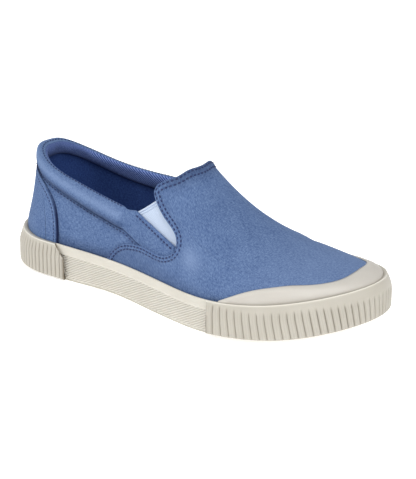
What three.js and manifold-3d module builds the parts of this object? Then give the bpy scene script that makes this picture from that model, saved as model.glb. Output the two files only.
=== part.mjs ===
// Slip-on canvas sneaker, right foot, standing empty on its sole.
// Millimetres, +X to the toe, +Y to the inner (medial) side, +Z up.
// The origin is the middle of the footprint on the floor.

import * as THREE from 'three';
import { mergeVertices } from 'three/addons/utils/BufferGeometryUtils.js';
import Module from 'manifold-3d';

const wasm = await Module();
wasm.setup();

// Overall sizes
const LENGTH = 270;
const WIDTH = 100;
const FOXING_HEIGHT = 24;
const UPPER_RISE = 64;
const COLLAR_RISE = 55;
const CAP_RISE = 9.6;
const TOE_SPRING = 17;
const TOE_TUCK = 2.6;
const HEEL_TUCK = 1.8;
const ARCH_RISE = 1.0;

// Thicknesses and fits
const GAP = 0.3;
const BUMPER_THICKNESS = 2.3;
const TAPE_THICKNESS = 1.5;
const CANVAS_THICKNESS = 2.0;
const VAMP_STEP = 0.5;
const CAP_THICKNESS = 1.2;
const COUNTER_THICKNESS = 0.9;
const GORE_THICKNESS = 1.2;
const COLLAR_PADDING = 7.0;
const LIP_THICKNESS = 0.9;
const LIP_SETBACK = 0.8;
const LIP_CHAMFER = 0.3;
const BAND_STEP = 0.3;
const BUMPER_HEM = 0.8;
const BUMPER_LIP = 0.5;
const CANVAS_SETTLE = 0.1;
const CAP_SETTLE = 0.25;
const PLATE_THICKNESS = 4.0;
const CORE_HEIGHT = 10.0;
const INSOLE_THICKNESS = 3.0;

// Ribs of the two bumpers and lugs of the tread
const TOE_RIB_PITCH = 5.6;
const HEEL_RIB_PITCH = 3.5;
const TOE_RIB_DEPTH = 0.8;
const HEEL_RIB_DEPTH = 0.7;
const LUG_GROOVE_WIDTH = 3.0;
const LUG_GROOVE_DEPTH = 1.5;
const LUG_PITCH = 11.0;
const LUG_MARGIN = 6.0;
const HEEL_GROOVES = 4;
const FOREFOOT_GROOVES = 7;

// Places along the length, as shares measured from the heel
const SPRING_START = 0.586;
const TUCK_START = 0.66;
const TUCK_END = 0.90;
const HEEL_TUCK_START = 0.15;
const HEEL_TUCK_END = 0.03;
const ARCH_START = 0.2;
const ARCH_END = 0.5;
const HEEL_BUMPER_END = 0.215;
const TOE_BUMPER_START = 0.666;
const COLLAR_END = 0.384;
const CAP_START = 0.692;
const CAP_MEDIAL_DROP = 0.16;
const CAP_DROP_END = 0.58;

// Divisions of the surfaces
const AROUND = 72;
const UPWARD = 10;

// Outline of the footprint: half widths as shares of WIDTH, evenly spaced from heel to toe
const OUTLINE = {
  lateral: [0.330, 0.352, 0.352, 0.357, 0.425, 0.500, 0.493, 0.425, 0.330],
  medial: [0.375, 0.385, 0.385, 0.385, 0.400, 0.465, 0.515, 0.505, 0.445],
  toeRound: 0.20,
  heelRound: 0.15,
  power: 2.3,
};

// The foot form above the foxing, evenly spaced from heel to toe
const FORM = {
  foxing: [0.98, 1.00, 0.99, 0.97, 0.94, 0.90, 0.90, 0.96, 0.94],
  crown: [1.75, 1.75, 1.72, 1.75, 1.08, 0.617, 0.362, 0.160, 0.060],
  squareness: [3.0, 3.0, 2.8, 2.5, 2.3, 2.2, 2.2, 2.3, 2.4],
  fullness: [2.0, 2.0, 2.0, 2.0, 2.0, 1.9, 1.9, 1.9, 2.0],
  lean: [0.16, 0.16, 0.16, 0.14, 0.08, 0.02, 0, 0, 0],
  heelLean: [0, 7.0, 8.6, 7.8, 3.2],
};

// Top line of the collar, evenly spaced over the rear half of the length
const COLLAR = {
  height: [1.240, 0.885, 0.765, 0.695, 0.667, 0.680],
  tilt: [-0.030, -0.030, -0.030, 0.018, 0.056, 0.064],
  band: [0.180, 0.155, 0.190, 0.210, 0.228, 0.236],
};

// Cross-section of the padded collar: up is a share of the band, out a share of the padding
const COLLAR_SECTION = [
  { up: 0.00, out: 0.00 },
  { up: 0.25, out: 0.17 },
  { up: 0.55, out: 0.22 },
  { up: 0.80, out: 0.13 },
  { up: 0.94, out: -0.10 },
  { up: 1.00, out: -0.38 },
  { up: 0.94, out: -0.64 },
  { up: 0.72, out: -0.78 },
  { up: 0.35, out: -0.72 },
  { up: 0.00, out: -0.40 },
];

// Side view of the vamp's rear edge: share of the length and height as a share of UPPER_RISE
const VAMP_EDGE = [
  { along: 0.334, up: -0.400 },
  { along: 0.340, up: 0.000 },
  { along: 0.358, up: 0.117 },
  { along: 0.386, up: 0.200 },
  { along: 0.423, up: 0.242 },
  { along: 0.459, up: 0.253 },
  { along: 0.496, up: 0.242 },
  { along: 0.523, up: 0.255 },
  { along: 0.545, up: 0.303 },
  { along: 0.554, up: 0.361 },
];

// Side view of the vamp along the gore and over the throat
const THROAT_EDGE = [
  { along: 0.551, up: 0.439 },
  { along: 0.535, up: 0.509 },
  { along: 0.499, up: 0.614 },
  { along: 0.4725, up: 0.722 },
  { along: 0.4665, up: 0.765 },
  { along: 0.4660, up: 0.806 },
  { along: 0.4710, up: 0.856 },
  { along: 0.4820, up: 0.898 },
  { along: 0.4980, up: 0.930 },
  { along: 0.5100, up: 0.958 },
  { along: 0.5190, up: 0.988 },
  { along: 0.5250, up: 1.020 },
];

// Front edge of the counter, from its top down
const COUNTER_EDGE = [
  { along: 0.100, up: 0.610 },
  { along: 0.133, up: 0.520 },
  { along: 0.161, up: 0.400 },
  { along: 0.177, up: 0.270 },
  { along: 0.183, up: 0.130 },
  { along: 0.184, up: -0.100 },
];

// Height of the toe cap over the foxing as a share of CAP_RISE, from its side end to the tip
const CAP_HEIGHT = [0.06, 0.94, 1.00, 0.88, 0.77, 0.72, 0.69, 0.69, 0.69];

// Distances in from the outermost outline
const TAPE_INSET = BUMPER_THICKNESS + GAP;
const TAPE_INNER = TAPE_INSET + TAPE_THICKNESS;
const FORM_INSET = TAPE_INNER + GAP + CANVAS_SETTLE + VAMP_STEP;
const CORE_INSET = FORM_INSET + CANVAS_THICKNESS + GAP;

// Value at t (0 to 1) of a smooth curve over evenly spaced rows
function curve(t, rows) {
  const last = rows.length - 1;
  const place = Math.min(Math.max(t, 0), 1) * last;
  const cell = Math.min(Math.floor(place), last - 1);
  const f = place - cell;
  const before = cell === 0 ? 2 * rows[0] - rows[1] : rows[cell - 1];
  const after = cell === last - 1 ? 2 * rows[last] - rows[last - 1] : rows[cell + 2];
  return (
    before * (1 - f) ** 3
    + rows[cell] * (3 * f ** 3 - 6 * f ** 2 + 4)
    + rows[cell + 1] * (-3 * f ** 3 + 3 * f ** 2 + 3 * f + 1)
    + after * f ** 3
  ) / 6;
}

function share(x) {
  return x / LENGTH + 0.5;
}

function along(t) {
  return (t - 0.5) * LENGTH;
}

// Toe spring: how far the sole has left the floor
function spring(x) {
  const t = (share(x) - SPRING_START) / (1 - SPRING_START);
  return TOE_SPRING * Math.max(t, 0) ** 2;
}

// Underside of the sole: toe spring plus the shallow arch at the waist
function ground(x) {
  const t = (share(x) - ARCH_START) / (ARCH_END - ARCH_START);
  const arch = t > 0 && t < 1 ? ARCH_RISE * (0.5 - 0.5 * Math.cos(2 * Math.PI * t)) : 0;
  return spring(x) + arch;
}

// Top edge of the foxing
function foxingTop(x) {
  return spring(x) + FOXING_HEIGHT * curve(share(x), FORM.foxing);
}

// The two sides of the footprint at x before it is centred
function rawSides(x) {
  const t = share(x);
  return [-curve(t, OUTLINE.lateral), curve(t, OUTLINE.medial)];
}

function rawExtent() {
  let low = 0;
  let high = 0;
  for (let k = 0; k <= 400; k += 1) {
    const x = along(k / 400);
    const [lateral, medial] = rawSides(x);
    const ends = endRounding(x, 0, 0);
    const mid = (lateral + medial) / 2;
    const half = ((medial - lateral) / 2) * Math.sqrt(Math.max(1 - ends, 0));
    low = Math.min(low, mid - half);
    high = Math.max(high, mid + half);
  }
  return [low, high];
}

// How much of the outline's roundness is used up by the toe and the heel
function endRounding(x, inset, heelShift) {
  const toe = LENGTH / 2 - inset;
  const heel = -LENGTH / 2 + inset + heelShift;
  const toeRadius = OUTLINE.toeRound * LENGTH;
  const heelRadius = OUTLINE.heelRound * LENGTH;
  const a = Math.max(0, (x - (toe - toeRadius)) / toeRadius);
  const b = Math.max(0, (heel + heelRadius - x) / heelRadius);
  return a ** OUTLINE.power + b ** OUTLINE.power;
}

const [RAW_LOW, RAW_HIGH] = rawExtent();
const SIDE_SCALE = WIDTH / (RAW_HIGH - RAW_LOW);
const SIDE_SHIFT = -(RAW_HIGH + RAW_LOW) / 2;

// Middle and half width of the footprint at x
function sides(x, inset) {
  const [lateral, medial] = rawSides(x);
  const low = (lateral + SIDE_SHIFT) * SIDE_SCALE + inset;
  const high = (medial + SIDE_SHIFT) * SIDE_SCALE - inset;
  return [(low + high) / 2, (high - low) / 2];
}

// Zero at the start, one at the end, and smooth between them
function smoothStep(value, start, end) {
  const t = Math.min(Math.max((value - start) / (end - start), 0), 1);
  return t * t * (3 - 2 * t);
}

// How far the side of the sole leans in by its top: nothing at the waist, more at both ends
function tuck(x) {
  const toe = TOE_TUCK * smoothStep(share(x), TUCK_START, TUCK_END);
  return toe + HEEL_TUCK * smoothStep(share(x), HEEL_TUCK_START, HEEL_TUCK_END);
}

// Positive inside the footprint at that inset and share of the lean, zero on its edge
function insideOutline(x, y, straight, lean) {
  const inset = straight + lean * tuck(x);
  const [middle, half] = sides(x, inset);
  return 1 - endRounding(x, inset, 0) - ((y - middle) / half) ** 2;
}

// Positive inside the foot form grown by some millimetres, at a height over the foxing
function insideForm(x, y, height, grow) {
  const t = share(x);
  const up = Math.max(height, 0);
  const rise = up / UPPER_RISE;
  const inset = FORM_INSET - grow + tuck(x);
  const [middle, half] = sides(x, inset);
  const leaning = half * (1 - curve(t, FORM.lean) * Math.min(rise * 1.28, 2) ** 1.5);
  const shift = curve(Math.min(rise * 0.914, 1), FORM.heelLean);
  const ends = endRounding(x, inset, shift);
  const square = 2 + (curve(t, FORM.squareness) - 2) * (1 - Math.exp(-rise * 10));
  const side = Math.abs((y - middle) / leaning) ** square;
  const crown = UPPER_RISE * curve(t, FORM.crown) + grow;
  return 1 - ends - side - (up / crown) ** curve(t, FORM.fullness);
}

const HEEL_CENTRE = -LENGTH / 2 + 0.14 * LENGTH;
const TOE_CENTRE = LENGTH / 2 - 0.17 * LENGTH;
const HEEL_FAN = 0.11;
const TOE_FAN = 0.14;
const SIDE_RUN = 0.5 - HEEL_FAN - TOE_FAN;

// Start and heading of the ray number u: 0 at the heel, 0.5 at the toe, lateral side first
function heading(u) {
  const turn = ((u % 1) + 1) % 1;
  const v = turn <= 0.5 ? turn : 1 - turn;
  const sign = turn <= 0.5 ? -1 : 1;
  let x = TOE_CENTRE;
  let angle = 90 + ((v - HEEL_FAN - SIDE_RUN) / TOE_FAN) * 90;
  if (v < HEEL_FAN) {
    x = HEEL_CENTRE;
    angle = (v / HEEL_FAN) * 90;
  } else if (v < HEEL_FAN + SIDE_RUN) {
    x = HEEL_CENTRE + ((v - HEEL_FAN) / SIDE_RUN) * (TOE_CENTRE - HEEL_CENTRE);
    angle = 90;
  }
  const radians = (angle * Math.PI) / 180;
  return { x, y: sides(x, 0)[0], dx: -Math.cos(radians), dy: sign * Math.sin(radians) };
}

// Ray number that passes a place along the side
function rayAt(x) {
  return HEEL_FAN + ((x - HEEL_CENTRE) / (TOE_CENTRE - HEEL_CENTRE)) * SIDE_RUN;
}

// Distance along a ray at which a field stops being positive
function reach(field, far) {
  let near = 0;
  let beyond = far;
  for (let step = 0; step < 44; step += 1) {
    const middle = (near + beyond) / 2;
    if (field(middle) > 0) {
      near = middle;
    } else {
      beyond = middle;
    }
  }
  return near;
}

// Point of the footprint's edge on ray u
function edgePoint(u, inset, lean) {
  const ray = heading(u);
  const at = (d) => [ray.x + ray.dx * d, ray.y + ray.dy * d];
  const r = reach((d) => insideOutline(...at(d), inset, lean), WIDTH * 1.5);
  return [ray.x + ray.dx * r, ray.y + ray.dy * r];
}

// Point of the grown form on ray u at an elevation in degrees, with the foxing top as its base
function formPoint(u, elevation, grow) {
  const ray = heading(u);
  const radians = (elevation * Math.PI) / 180;
  const flat = Math.cos(radians);
  const rise = Math.sin(radians);
  const at = (d) => [ray.x + ray.dx * flat * d, ray.y + ray.dy * flat * d, rise * d];
  const r = reach((d) => insideForm(...at(d), grow), WIDTH * 2.5);
  const [x, y, height] = at(r);
  return [x, y, foxingTop(x) + height];
}

// Point of the grown form on ray u at a height over the foxing that may depend on the place
function sidePoint(u, heightAt, grow) {
  const ray = heading(u);
  const at = (d) => [ray.x + ray.dx * d, ray.y + ray.dy * d];
  const r = reach((d) => {
    const [x, y] = at(d);
    return insideForm(x, y, heightAt(x, y), grow);
  }, WIDTH * 1.5);
  const [x, y] = at(r);
  return [x, y, foxingTop(x) + heightAt(x, y)];
}

// Height over the foxing of the collar's top line and of the seam under it
const TILT_REACH = 0.28 * WIDTH;

function collarTop(x, y) {
  const t = share(x) * 2;
  return COLLAR_RISE * (curve(t, COLLAR.height) + (curve(t, COLLAR.tilt) * y) / TILT_REACH);
}

function collarBand(x) {
  return COLLAR_RISE * curve(share(x) * 2, COLLAR.band);
}

// One triangle list becomes a geometry with shared corners and no empty triangles
function geometryFrom(points, triangles) {
  const flat = new Float32Array(triangles.length * 9);
  let place = 0;
  for (const triangle of triangles) {
    for (const corner of triangle) {
      flat.set(points[corner], place);
      place += 3;
    }
  }
  const soup = new THREE.BufferGeometry();
  soup.setAttribute('position', new THREE.BufferAttribute(flat, 3));
  const merged = mergeVertices(soup, 1e-4);
  const index = merged.index.array;
  const kept = [];
  for (let i = 0; i < index.length; i += 3) {
    const [a, b, c] = [index[i], index[i + 1], index[i + 2]];
    if (a !== b && b !== c && c !== a) {
      kept.push(a, b, c);
    }
  }
  merged.setIndex(kept);
  return outward(merged);
}

// Turn the triangles round when the closed surface faces inward
function outward(geometry) {
  const position = geometry.attributes.position;
  const index = geometry.index.array;
  const a = new THREE.Vector3();
  const b = new THREE.Vector3();
  const c = new THREE.Vector3();
  let volume = 0;
  for (let i = 0; i < index.length; i += 3) {
    a.fromBufferAttribute(position, index[i]);
    b.fromBufferAttribute(position, index[i + 1]);
    c.fromBufferAttribute(position, index[i + 2]);
    volume += a.dot(b.clone().cross(c));
  }
  if (volume < 0) {
    const turned = Array.from(index);
    for (let i = 0; i < turned.length; i += 3) {
      [turned[i + 1], turned[i + 2]] = [turned[i + 2], turned[i + 1]];
    }
    geometry.setIndex(turned);
  }
  return geometry;
}

// Closed solid from a stack of rings; ring corners k and AROUND - k face each other
function stack(rings) {
  const points = rings.flat();
  const triangles = [];
  const n = AROUND;
  for (let row = 0; row < rings.length - 1; row += 1) {
    for (let k = 0; k < n; k += 1) {
      const next = (k + 1) % n;
      const a = row * n + k;
      const b = row * n + next;
      triangles.push([a, b, b + n], [a, b + n, a + n]);
    }
  }
  const top = (rings.length - 1) * n;
  for (let k = 0; k < n / 2; k += 1) {
    const far = (n - k) % n;
    triangles.push([k, far, n - k - 1], [k, n - k - 1, k + 1]);
    triangles.push([top + k, top + n - k - 1, top + far], [top + k, top + k + 1, top + n - k - 1]);
  }
  return geometryFrom(points, triangles);
}

// Closed solid from a row of equal loops; an open row gets its two ends filled
function loft(loops, closed, flatLoop) {
  const size = loops[0].length;
  const points = loops.flat();
  const triangles = [];
  const spans = closed ? loops.length : loops.length - 1;
  for (let i = 0; i < spans; i += 1) {
    const next = (i + 1) % loops.length;
    for (let k = 0; k < size; k += 1) {
      const up = (k + 1) % size;
      const corners = [i * size + k, next * size + k, next * size + up, i * size + up];
      triangles.push([corners[0], corners[1], corners[2]], [corners[0], corners[2], corners[3]]);
    }
  }
  if (!closed) {
    const outline = flatLoop.map(([a, b]) => new THREE.Vector2(a, b));
    const faces = THREE.ShapeUtils.triangulateShape(outline, []);
    const anticlockwise = THREE.ShapeUtils.area(outline) > 0;
    const end = (loops.length - 1) * size;
    for (const [a, b, c] of faces) {
      const [p, q] = anticlockwise ? [b, c] : [c, b];
      triangles.push([a, p, q], [end + a, end + q, end + p]);
    }
  }
  return geometryFrom(points, triangles);
}

// Solid between a side view at one side and a side view at the other
function sideBlock(lateral, medial, reachLow, reachHigh) {
  const n = lateral.length;
  const points = [
    ...lateral.map(([x, z]) => [x, reachLow, z]),
    ...medial.map(([x, z]) => [x, reachHigh, z]),
  ];
  const outline = lateral.map(([x, z]) => new THREE.Vector2(x, z));
  const triangles = [];
  for (const [a, b, c] of THREE.ShapeUtils.triangulateShape(outline, [])) {
    triangles.push([a, b, c], [n + a, n + c, n + b]);
  }
  const anticlockwise = THREE.ShapeUtils.area(outline) > 0;
  for (let k = 0; k < n; k += 1) {
    const next = (k + 1) % n;
    const quad = anticlockwise ? [k, next, n + next, n + k] : [k, n + k, n + next, next];
    triangles.push([quad[0], quad[2], quad[1]], [quad[0], quad[3], quad[2]]);
  }
  return geometryFrom(points, triangles);
}

function toSolid(geometry) {
  const plain = geometry.clone();
  plain.deleteAttribute('normal');
  plain.deleteAttribute('uv');
  const welded = mergeVertices(plain, 1e-4);
  return new wasm.Manifold(new wasm.Mesh({
    numProp: 3,
    vertProperties: new Float32Array(welded.attributes.position.array),
    triVerts: new Uint32Array(welded.index.array),
  }));
}

function toGeometry(solid) {
  const mesh = solid.getMesh();
  const geometry = new THREE.BufferGeometry();
  geometry.setAttribute('position', new THREE.BufferAttribute(new Float32Array(mesh.vertProperties), 3));
  geometry.setIndex(Array.from(mesh.triVerts));
  return geometry;
}

const RAYS = Array.from({ length: AROUND }, (_, k) => k / AROUND);

// The whole foot form, grown by some millimetres, with straight sides down to a depth
function formSolid(grow, depth) {
  const rings = [RAYS.map((u) => {
    const [x, y] = formPoint(u, 0, grow);
    return [x, y, ground(x) + depth];
  })];
  for (let row = 0; row <= UPWARD; row += 1) {
    rings.push(RAYS.map((u) => formPoint(u, (90 * row) / UPWARD, grow)));
  }
  return toSolid(stack(rings));
}

// Hollow wall between two growths of the form, open underneath
function wallSolid(outer, inner, depth) {
  return formSolid(outer, depth).subtract(formSolid(inner, depth - FOXING_HEIGHT / 2));
}

// Side view point from a share of the length and a share of the upper's rise
function sideView(rows, shift = 0) {
  return rows.map((row) => {
    const x = along(row.along) + shift;
    return [x, foxingTop(x) + UPPER_RISE * row.up];
  });
}

// Side view of the collar's seam or top line, from the front back to behind the heel
const TILT_PLANE = 0.5 * WIDTH;

function collarLine(side, startX, drop, lower) {
  const end = -LENGTH * 0.56;
  const count = 28;
  const line = [];
  for (let k = 0; k <= count; k += 1) {
    const x = startX + ((end - startX) * k) / count;
    const band = lower ? collarBand(x) : 0;
    line.push([x, foxingTop(x) + collarTop(x, side * TILT_PLANE) - band - drop]);
  }
  return line;
}

// Outsole with its lip under the foxing, its core inside the upper and its lugs
function outsoleSolid() {
  const rows = [
    { inset: TAPE_INSET + 2 * LIP_SETBACK, lean: 0, z: 0 },
    { inset: TAPE_INSET + LIP_SETBACK, lean: 0, z: LIP_CHAMFER },
    { inset: TAPE_INSET + LIP_SETBACK, lean: 0, z: LIP_THICKNESS },
    { inset: TAPE_INNER + GAP, lean: 1, z: LIP_THICKNESS },
    { inset: TAPE_INNER + GAP, lean: 1, z: PLATE_THICKNESS },
    { inset: CORE_INSET, lean: 1, z: PLATE_THICKNESS },
    { inset: CORE_INSET, lean: 1, z: CORE_HEIGHT },
  ];
  const rings = rows.map(({ inset, lean, z }) => RAYS.map((u) => {
    const [x, y] = edgePoint(u, inset, lean);
    return [x, y, ground(x) + z];
  }));
  let solid = toSolid(stack(rings));
  const margin = TAPE_INNER + LUG_MARGIN;
  const groove = (x) => {
    const [middle, half] = sides(x, margin);
    const box = new THREE.BoxGeometry(LUG_GROOVE_WIDTH, half * 1.7, 2 * LUG_GROOVE_DEPTH);
    box.translate(x, middle, ground(x));
    return toSolid(box);
  };
  for (let k = 0; k < HEEL_GROOVES; k += 1) {
    solid = solid.subtract(groove(along(0.14) + k * LUG_PITCH));
  }
  for (let k = 0; k < FOREFOOT_GROOVES; k += 1) {
    solid = solid.subtract(groove(along(0.52) + k * LUG_PITCH));
  }
  return toGeometry(solid);
}

// Rings of equal loops round the outline: a profile row is an inset, its lean and a height
function ringLoops(rays, profileAt) {
  return rays.map((u, index) => profileAt(u, index).map(({ inset, lean, up, base }) => {
    const [x, y] = edgePoint(u, inset, lean);
    const foot = ground(x) + base;
    return [x, y, foot + (foxingTop(x) - foot) * up];
  }));
}

// Foxing tape: smooth band, thin raised line and plain lower part
function foxingGeometry() {
  const bottom = LIP_THICKNESS + GAP;
  const line = 0.78;
  const profile = [
    { inset: TAPE_INNER, lean: 1, up: 0, base: bottom },
    { inset: TAPE_INSET + BAND_STEP, lean: 0, up: 0, base: bottom },
    { inset: TAPE_INSET + BAND_STEP, lean: line - 0.05, up: line - 0.05, base: bottom },
    { inset: TAPE_INSET, lean: line - 0.02, up: line - 0.02, base: bottom },
    { inset: TAPE_INSET, lean: 0.97, up: 0.97, base: bottom },
    { inset: TAPE_INSET + BAND_STEP, lean: 1, up: 1, base: bottom },
    { inset: TAPE_INNER, lean: 1, up: 1, base: bottom },
  ];
  return loft(ringLoops(RAYS, () => profile), true, null);
}

// Rays spaced evenly by length along the outline between two rays
function evenRays(from, to, pitch) {
  const fine = 600;
  const lengths = [0];
  let before = edgePoint(from, 0, 0);
  for (let k = 1; k <= fine; k += 1) {
    const here = edgePoint(from + ((to - from) * k) / fine, 0, 0);
    lengths.push(lengths[k - 1] + Math.hypot(here[0] - before[0], here[1] - before[1]));
    before = here;
  }
  const total = lengths[fine];
  const count = Math.max(2, Math.round(total / pitch)) * 2;
  const rays = [];
  let cell = 0;
  for (let k = 0; k <= count; k += 1) {
    const wanted = (total * k) / count;
    while (cell < fine - 1 && lengths[cell + 1] < wanted) {
      cell += 1;
    }
    const part = (wanted - lengths[cell]) / (lengths[cell + 1] - lengths[cell]);
    rays.push(from + ((to - from) * (cell + Math.min(part, 1))) / fine);
  }
  return rays;
}

// Ribbed bumper over the foxing: ribs stand at every second loop and fade up the bevel
function bumperGeometry(from, to, pitch, depth, bevel, lip) {
  const bottom = LIP_THICKNESS + GAP;
  const profileFor = (valley) => {
    const cut = valley ? depth : 0;
    const crest = BUMPER_THICKNESS - BUMPER_LIP;
    return [
      { inset: BUMPER_THICKNESS, lean: 0, up: 0, base: bottom },
      { inset: cut + BUMPER_HEM, lean: 0, up: 0, base: bottom },
      { inset: cut, lean: 0, up: 0.08, base: bottom },
      { inset: cut, lean: 0.05, up: 1 - bevel, base: bottom },
      { inset: 0.22 * crest + 0.6 * cut, lean: 0.2, up: 1 - 0.6 * bevel, base: bottom },
      { inset: 0.55 * crest + 0.2 * cut, lean: 0.4, up: 1 - 0.27 * bevel, base: bottom },
      { inset: crest, lean: 0.6, up: 0.985 + lip, base: bottom },
      { inset: BUMPER_THICKNESS, lean: 1, up: 1 + lip, base: bottom },
    ];
  };
  const rays = evenRays(from, to, pitch);
  const loops = ringLoops(rays, (u, index) => profileFor(index % 2 === 1));
  const flat = profileFor(false).map(({ inset, up }) => [-inset, up * FOXING_HEIGHT]);
  return loft(loops, false, flat);
}

// Toe cap: a smooth thin shell over the vamp, from the foxing to its own edge
function toeCapGeometry() {
  const inner = VAMP_STEP + GAP + CAP_SETTLE;
  const outer = inner + CAP_THICKNESS;
  const start = rayAt(along(CAP_START));
  const first = Math.ceil(start * AROUND + 0.35);
  const rays = [start];
  for (let k = first; k <= AROUND - first; k += 1) {
    rays.push(k / AROUND);
  }
  rays.push(1 - start);
  const heightAt = (u) => {
    const v = u <= 0.5 ? u : 1 - u;
    const lower = 1 - CAP_MEDIAL_DROP * smoothStep(u, 0.5, CAP_DROP_END);
    return GAP + CAP_RISE * curve((v - start) / (0.5 - start), CAP_HEIGHT) * lower;
  };
  const section = [
    { up: 0, grow: outer },
    { up: 0.35, grow: outer },
    { up: 0.7, grow: outer },
    { up: 0.96, grow: outer - 0.08 * CAP_THICKNESS },
    { up: 1, grow: outer - 0.4 * CAP_THICKNESS },
    { up: 1, grow: inner },
    { up: 0.7, grow: inner },
    { up: 0.35, grow: inner },
    { up: 0, grow: inner },
  ];
  const loops = rays.map((u) => section.map(({ up, grow }) => {
    const height = GAP + (heightAt(u) - GAP) * up;
    return sidePoint(u, () => height, grow);
  }));
  const flat = section.map(({ up, grow }) => [grow, up * CAP_RISE]);
  return loft(loops, false, flat);
}

// Padded collar: one rounded roll from gore to gore round the heel, flattened at both ends
function collarGeometry() {
  const end = rayAt(along(COLLAR_END));
  const first = Math.floor(end * AROUND - 0.3);
  const rays = [end];
  for (let k = first; k >= -first; k -= 1) {
    rays.push(k / AROUND);
  }
  rays.push(-end);
  const flatten = (u) => {
    const near = (end - Math.abs(u)) * AROUND;
    return Math.min(1, 0.35 + 0.5 * near);
  };
  const loops = rays.map((u) => COLLAR_SECTION.map(({ up, out }) => {
    const full = out * COLLAR_PADDING;
    const flat = out > 0 ? 0 : Math.max(full, -CANVAS_THICKNESS);
    const grow = flat + (full - flat) * flatten(u);
    return sidePoint(u, (x, y) => collarTop(x, y) - collarBand(x) * (1 - up), grow);
  }));
  const flat = COLLAR_SECTION.map(({ up, out }) => [out * COLLAR_PADDING, up * COLLAR_RISE]);
  return loft(loops, false, flat);
}

const UPPER_FOOT = PLATE_THICKNESS + GAP;

// Quarter: the rear of the canvas wall, both sides and heel in one, under the collar
function quarterGeometry() {
  const wall = wallSolid(0, -CANVAS_THICKNESS, UPPER_FOOT);
  const view = (side) => {
    const seamStart = along(COLLAR_END) - GAP / 3;
    const goreEnd = along(0.4165);
    const lower = sideView(VAMP_EDGE, -GAP).map(([x, z]) => [x, z + GAP]);
    const tip = [along(0.5505), foxingTop(along(0.5505)) + 0.372 * UPPER_RISE];
    const hem = [goreEnd, foxingTop(goreEnd) + collarTop(goreEnd, side * TILT_PLANE)];
    const corner = seamStart + 2 * GAP;
    return [
      [-LENGTH * 0.56, -FOXING_HEIGHT],
      [lower[0][0], -FOXING_HEIGHT],
      ...lower,
      tip,
      hem,
      [corner, foxingTop(corner) + collarTop(corner, side * TILT_PLANE)],
      [corner, foxingTop(corner) + collarTop(corner, side * TILT_PLANE) - collarBand(corner) - GAP],
      ...collarLine(side, seamStart, GAP, true),
    ];
  };
  return toGeometry(wall.intersect(toSolid(sideBlock(view(-1), view(1), -TILT_PLANE, TILT_PLANE))));
}

// Vamp: the front of the canvas wall, a step thicker, from the throat to the toe
function vampGeometry() {
  const wall = wallSolid(VAMP_STEP, -CANVAS_THICKNESS, UPPER_FOOT);
  const view = [
    [along(VAMP_EDGE[0].along), -FOXING_HEIGHT],
    [LENGTH * 0.6, -FOXING_HEIGHT],
    [LENGTH * 0.6, foxingTop(0) + UPPER_RISE * 1.6],
    [along(0.56), foxingTop(0) + UPPER_RISE * 1.6],
    ...sideView(THROAT_EDGE).reverse(),
    ...sideView(VAMP_EDGE).reverse(),
  ];
  return toGeometry(wall.intersect(toSolid(sideBlock(view, view, -WIDTH, WIDTH))));
}

// Heel counter: an extra layer over the back of the quarter
function counterGeometry() {
  const wall = wallSolid(GAP + COUNTER_THICKNESS, GAP, UPPER_FOOT);
  const view = (side) => {
    const front = sideView(COUNTER_EDGE);
    const topX = front[0][0];
    const foot = front[front.length - 1][0];
    const back = -LENGTH * 0.56;
    const upper = collarLine(side, topX, 3 * GAP, true);
    return [
      [back, foxingTop(back) + GAP],
      [foot, foxingTop(foot) + GAP],
      ...front.slice(0, -1).reverse(),
      ...upper.slice(1),
    ];
  };
  return toGeometry(wall.intersect(toSolid(sideBlock(view(-1), view(1), -TILT_PLANE, TILT_PLANE))));
}

// Elastic gore behind the slot between quarter and vamp, one for each side
function goreGeometry(side) {
  const outer = -CANVAS_THICKNESS - GAP;
  const wall = wallSolid(outer, outer - GORE_THICKNESS, UPPER_FOOT);
  const rear = 0.402;
  const rearUp = (collarTop(along(0.4165), side * TILT_REACH) - CANVAS_THICKNESS) / UPPER_RISE;
  const rows = [
    { along: rear, up: rearUp },
    { along: 0.487, up: 0.781 },
    { along: 0.569, up: 0.420 },
    { along: 0.560, up: 0.297 },
    { along: 0.531, up: 0.290 },
  ];
  const view = sideView(rows);
  const low = side < 0 ? -WIDTH : 0;
  const high = side < 0 ? 0 : WIDTH;
  return toGeometry(wall.intersect(toSolid(sideBlock(view, view, low, high))));
}

// Insole resting over the core, inside the upper
function insoleGeometry() {
  const rows = [
    { inset: CORE_INSET + GAP, z: CORE_HEIGHT + GAP },
    { inset: CORE_INSET + GAP, z: CORE_HEIGHT + GAP + 0.7 * INSOLE_THICKNESS },
    { inset: CORE_INSET + 0.4 * INSOLE_THICKNESS, z: CORE_HEIGHT + GAP + INSOLE_THICKNESS },
  ];
  return stack(rows.map(({ inset, z }) => RAYS.map((u) => {
    const [x, y] = edgePoint(u, inset, 1);
    return [x, y, ground(x) + z];
  })));
}

const COLOURS = {
  canvas: 0x6280b0,
  gore: 0xc8daf2,
  rubber: 0xdfdacb,
  lining: 0x2c3d63,
};

const group = new THREE.Group();
group.name = 'slip_on_sneaker';

function add(name, geometry, colour, roughness) {
  const faceted = geometry.index ? geometry.toNonIndexed() : geometry;
  const welded = mergeVertices(faceted, 1e-5);
  welded.computeVertexNormals();
  const material = new THREE.MeshStandardMaterial({ color: colour, roughness, metalness: 0 });
  material.name = name;
  const mesh = new THREE.Mesh(welded, material);
  mesh.name = name;
  group.add(mesh);
}

const heelEnd = rayAt(along(HEEL_BUMPER_END));
const toeStart = rayAt(along(TOE_BUMPER_START));

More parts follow.
